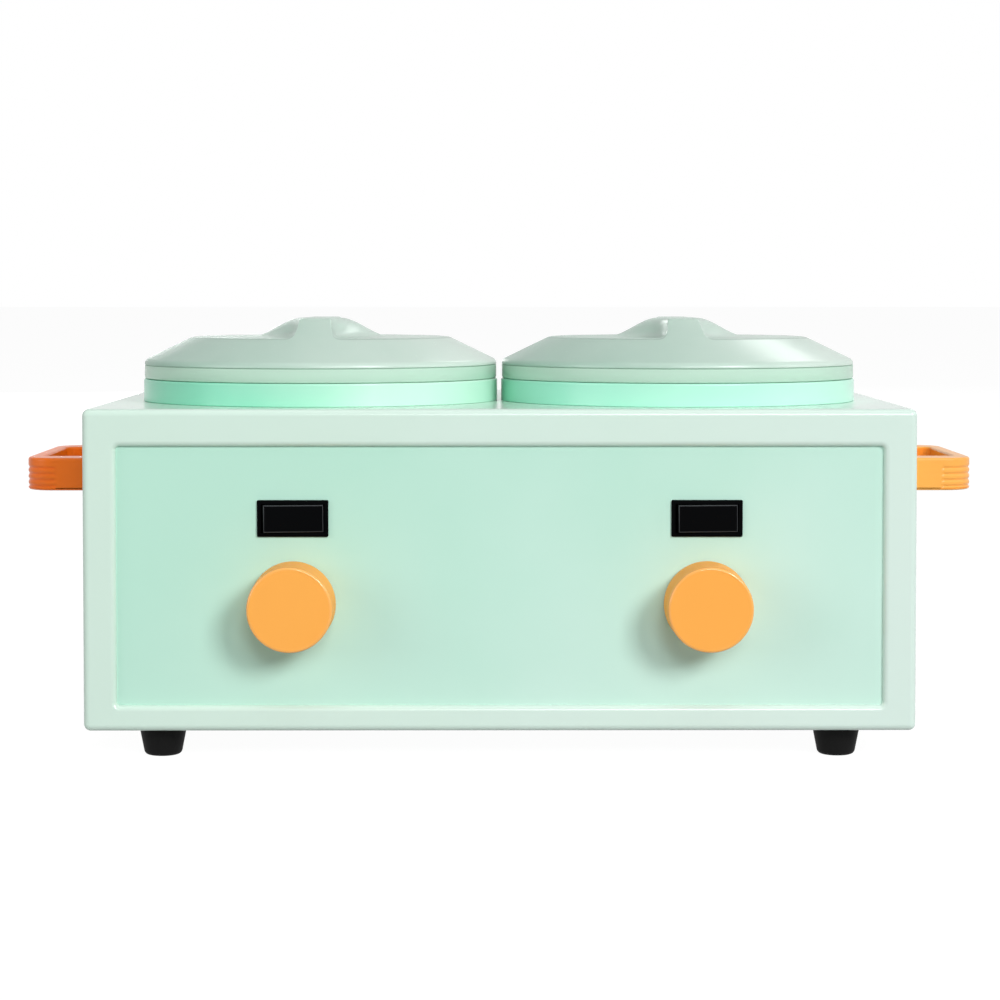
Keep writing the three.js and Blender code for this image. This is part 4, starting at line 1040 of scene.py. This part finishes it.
handle_rings = [
    (-handle_height / 2 + handle_edge * (1 - math.cos(math.pi / 2 * step / edge_segments)),
     handle_edge * (1 - math.sin(math.pi / 2 * step / edge_segments)), 0)
    for step in range(edge_segments + 1)
]
upper_rings = [(-height, inset, sink) for height, inset, sink in reversed(handle_rings)]
for groove in range(groove_count):
    middle = (groove - (groove_count - 1) / 2) * groove_pitch - groove_drop
    handle_rings += [
        (middle + groove_half * across, 0, groove_sink * deep) for across, deep in groove_shares
    ]
handle_rings += upper_rings
handle_bm = lofted([handle_ring(*ring) for ring in handle_rings])
handle_bm.normal_update()
# Faces turned into the loop get the orange painted deeper as painted shade
for face in handle_bm.faces:
    middle = face.calc_center_median()
    inward = Vector((grip / 2 * MM, 0)) - middle.xy
    upright = abs(face.normal.z) < 0.5
    off_wall = middle.x > handle_seat * MM * 2
    face.material_index = int(upright and off_wall and face.normal.xy.dot(inward) > 0)
handle_mesh = as_mesh(handle_bm, "handle_loop")
for side, sign in sides.items():
    low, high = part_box(f"handle_{side}")
    handle = bmesh.new()
    handle.from_mesh(handle_mesh)
    if sign < 0:
        bmesh.ops.rotate(handle, cent=(0, 0, 0), matrix=Matrix.Rotation(math.pi, 3, "Z"), verts=handle.verts)
    placed(handle, sign * case_high.x, (low.y + high.y) / 2, (low.z + high.z) / 2)
    dressed(f"side_handle_{side}", handle, [handle_abs_painted_light, handle_inside_painted_shade], "case",
            [f"handle_{side}"], sharp=28.0)
    refinished(zinc, f"handle_screw_front_{side}", f"handle_screw_back_{side}")

# Mains inlet and terminal block
# A three-pin inlet of black nylon with plated blades, pressed into the back wall. Inside it is wired to a
# ceramic terminal block, which is fixed to the base plate.

# Black nylon with a dull shine, a shade lighter than the switches
inlet_nylon = moulded_plastic(
    "inlet_black_nylon", "#131416", "#191a1c", roughness=0.4, grain=1.0 * MM, grain_depth=0.02 * MM,
)
refinished(inlet_nylon, "power_inlet")
refinished(zinc, "inlet_blade_line", "inlet_blade_neutral", "inlet_blade_earth")
# Unglazed fired steatite, cream and chalky
steatite = moulded_plastic(
    "terminal_fired_steatite", "#e2ddd0", "#ece8dd", roughness=0.6, grain=0.7 * MM, grain_depth=0.03 * MM,
)
refinished(steatite, "terminal_block")

# Leads
# Sleeved copper wires, bent to their routes: brown for line, blue for neutral, green for earth. They run
# from the inlet to the terminal block, and on through switch, thermostat and cut-out to each heater.
for colour, low, high, nodes in (
    ("brown", "#4e3122", "#5e3d2a", [
        "lead_mains_line",
        *(f"lead_{run}_{side}" for run in ("supply", "control", "cutout", "heater") for side in sides),
    ]),
    ("blue", "#2a68a8", "#3476b8", ["lead_mains_neutral", *(f"lead_return_{side}" for side in sides)]),
    ("green", "#568f34", "#66a240", ["lead_mains_earth"]),
):
    # Soft PVC with a waxy half shine
    sleeve = moulded_plastic(
        f"lead_{colour}_pvc_sleeve", low, high, roughness=0.45, grain=0.6 * MM, grain_depth=0.02 * MM,
    )
    refinished(sleeve, *nodes)

# Bench, lamps and surroundings
# A plain white bench top under an even white surround, with a big soft lamp in front on the right and a
# weaker one straight in front. Faint lamps above, on both sides and behind open up the shadows.
def seen_outright(tree):
    """One for rays from the camera, a reflection or a see-through piece, zero for rays that only light."""
    path = add_node(tree, "ShaderNodeLightPath")
    seen = path.outputs["Is Camera Ray"]
    for kind in ("Is Glossy Ray", "Is Transmission Ray"):
        either = add_node(tree, "ShaderNodeMath", {0: seen, 1: path.outputs[kind]}, operation="MAXIMUM")
        seen = either.outputs[0]
    return seen


# Wide enough that no view shows the bench's edge
floor_size = 90.0
floor_bm = bmesh.new()
bmesh.ops.create_grid(floor_bm, x_segments=1, y_segments=1, size=floor_size / 2)
floor_mesh = as_mesh(floor_bm, "bench_top")
floor = bpy.data.objects.new("bench_top", floor_mesh)
scene.collection.objects.link(floor)
# White laminate: to the eye it nearly glows, which leaves only a faint contact shadow, while the light it
# throws back on the case stays that of a plain bench
bench, tree = blank_material("bench_white_laminate")
seen = seen_outright(tree)
lit = add_node(tree, "ShaderNodeBsdfDiffuse", {"Color": linear("#b0b0b0")})
faint = add_node(tree, "ShaderNodeBsdfDiffuse", {"Color": linear("#5e5e5e")})
glow = add_node(tree, "ShaderNodeEmission", {"Color": linear("#ffffff"), "Strength": 0.965})
shown = add_node(tree, "ShaderNodeAddShader", {0: faint.outputs[0], 1: glow.outputs[0]})
mix = add_node(tree, "ShaderNodeMixShader", {0: seen, 1: lit.outputs[0], 2: shown.outputs[0]})
add_node(tree, "ShaderNodeOutputMaterial", {"Surface": mix.outputs[0]})
floor_mesh.materials.append(bench)

# The surround is white to the eye but adds little light of its own
world = bpy.data.worlds.new("studio_surround")
scene.world = world
world.use_nodes = True
tree = world.node_tree
tree.nodes.clear()
level = add_node(tree, "ShaderNodeMapRange", {"Value": seen_outright(tree), "To Min": 0.055, "To Max": 1.0})
surround = add_node(tree, "ShaderNodeBackground", {"Color": linear("#ffffff"), "Strength": level.outputs[0]})
add_node(tree, "ShaderNodeOutputWorld", {"Surface": surround.outputs[0]})

lamp_aim = Vector((0, 0, 100 * MM))


def soft_lamp(name, azimuth, elevation, distance, size, power):
    """A square soft lamp aimed at the case, with its distance and size in metres and its power in watts.

    Azimuth 0 is straight in front and 90 is on the right.
    """
    lamp_data = bpy.data.lights.new(name, "AREA")
    lamp_data.shape = "SQUARE"
    lamp_data.size = size
    lamp_data.energy = power
    lamp = bpy.data.objects.new(name, lamp_data)
    scene.collection.objects.link(lamp)
    azimuth, elevation = math.radians(azimuth), math.radians(elevation)
    away = Vector((math.sin(azimuth), -math.cos(azimuth), math.tan(elevation))) * math.cos(elevation)
    lamp.location = lamp_aim + away * distance
    lamp.rotation_mode = "QUATERNION"
    lamp.rotation_quaternion = away.to_track_quat("Z", "Y")
    return lamp


soft_lamp("key_lamp", 34, 25, 6, 1.7, 205)
soft_lamp("front_lamp", 8, 24, 6, 1.7, 90)
soft_lamp("top_lamp", 0, 80, 2.2, 1.6, 8.5)
soft_lamp("side_lamp", 82, 20, 4, 2, 20)
soft_lamp("left_lamp", -62, 15, 4, 2, 38)
soft_lamp("back_lamp", 152, 40, 2.2, 0.5, 3)
# The rear lamp lights the back wall, and is kept out of the reflections on the deck
soft_lamp("rear_lamp", 192, 8, 4, 0.7, 60).visible_glossy = False
scene.view_settings.view_transform = "Standard"
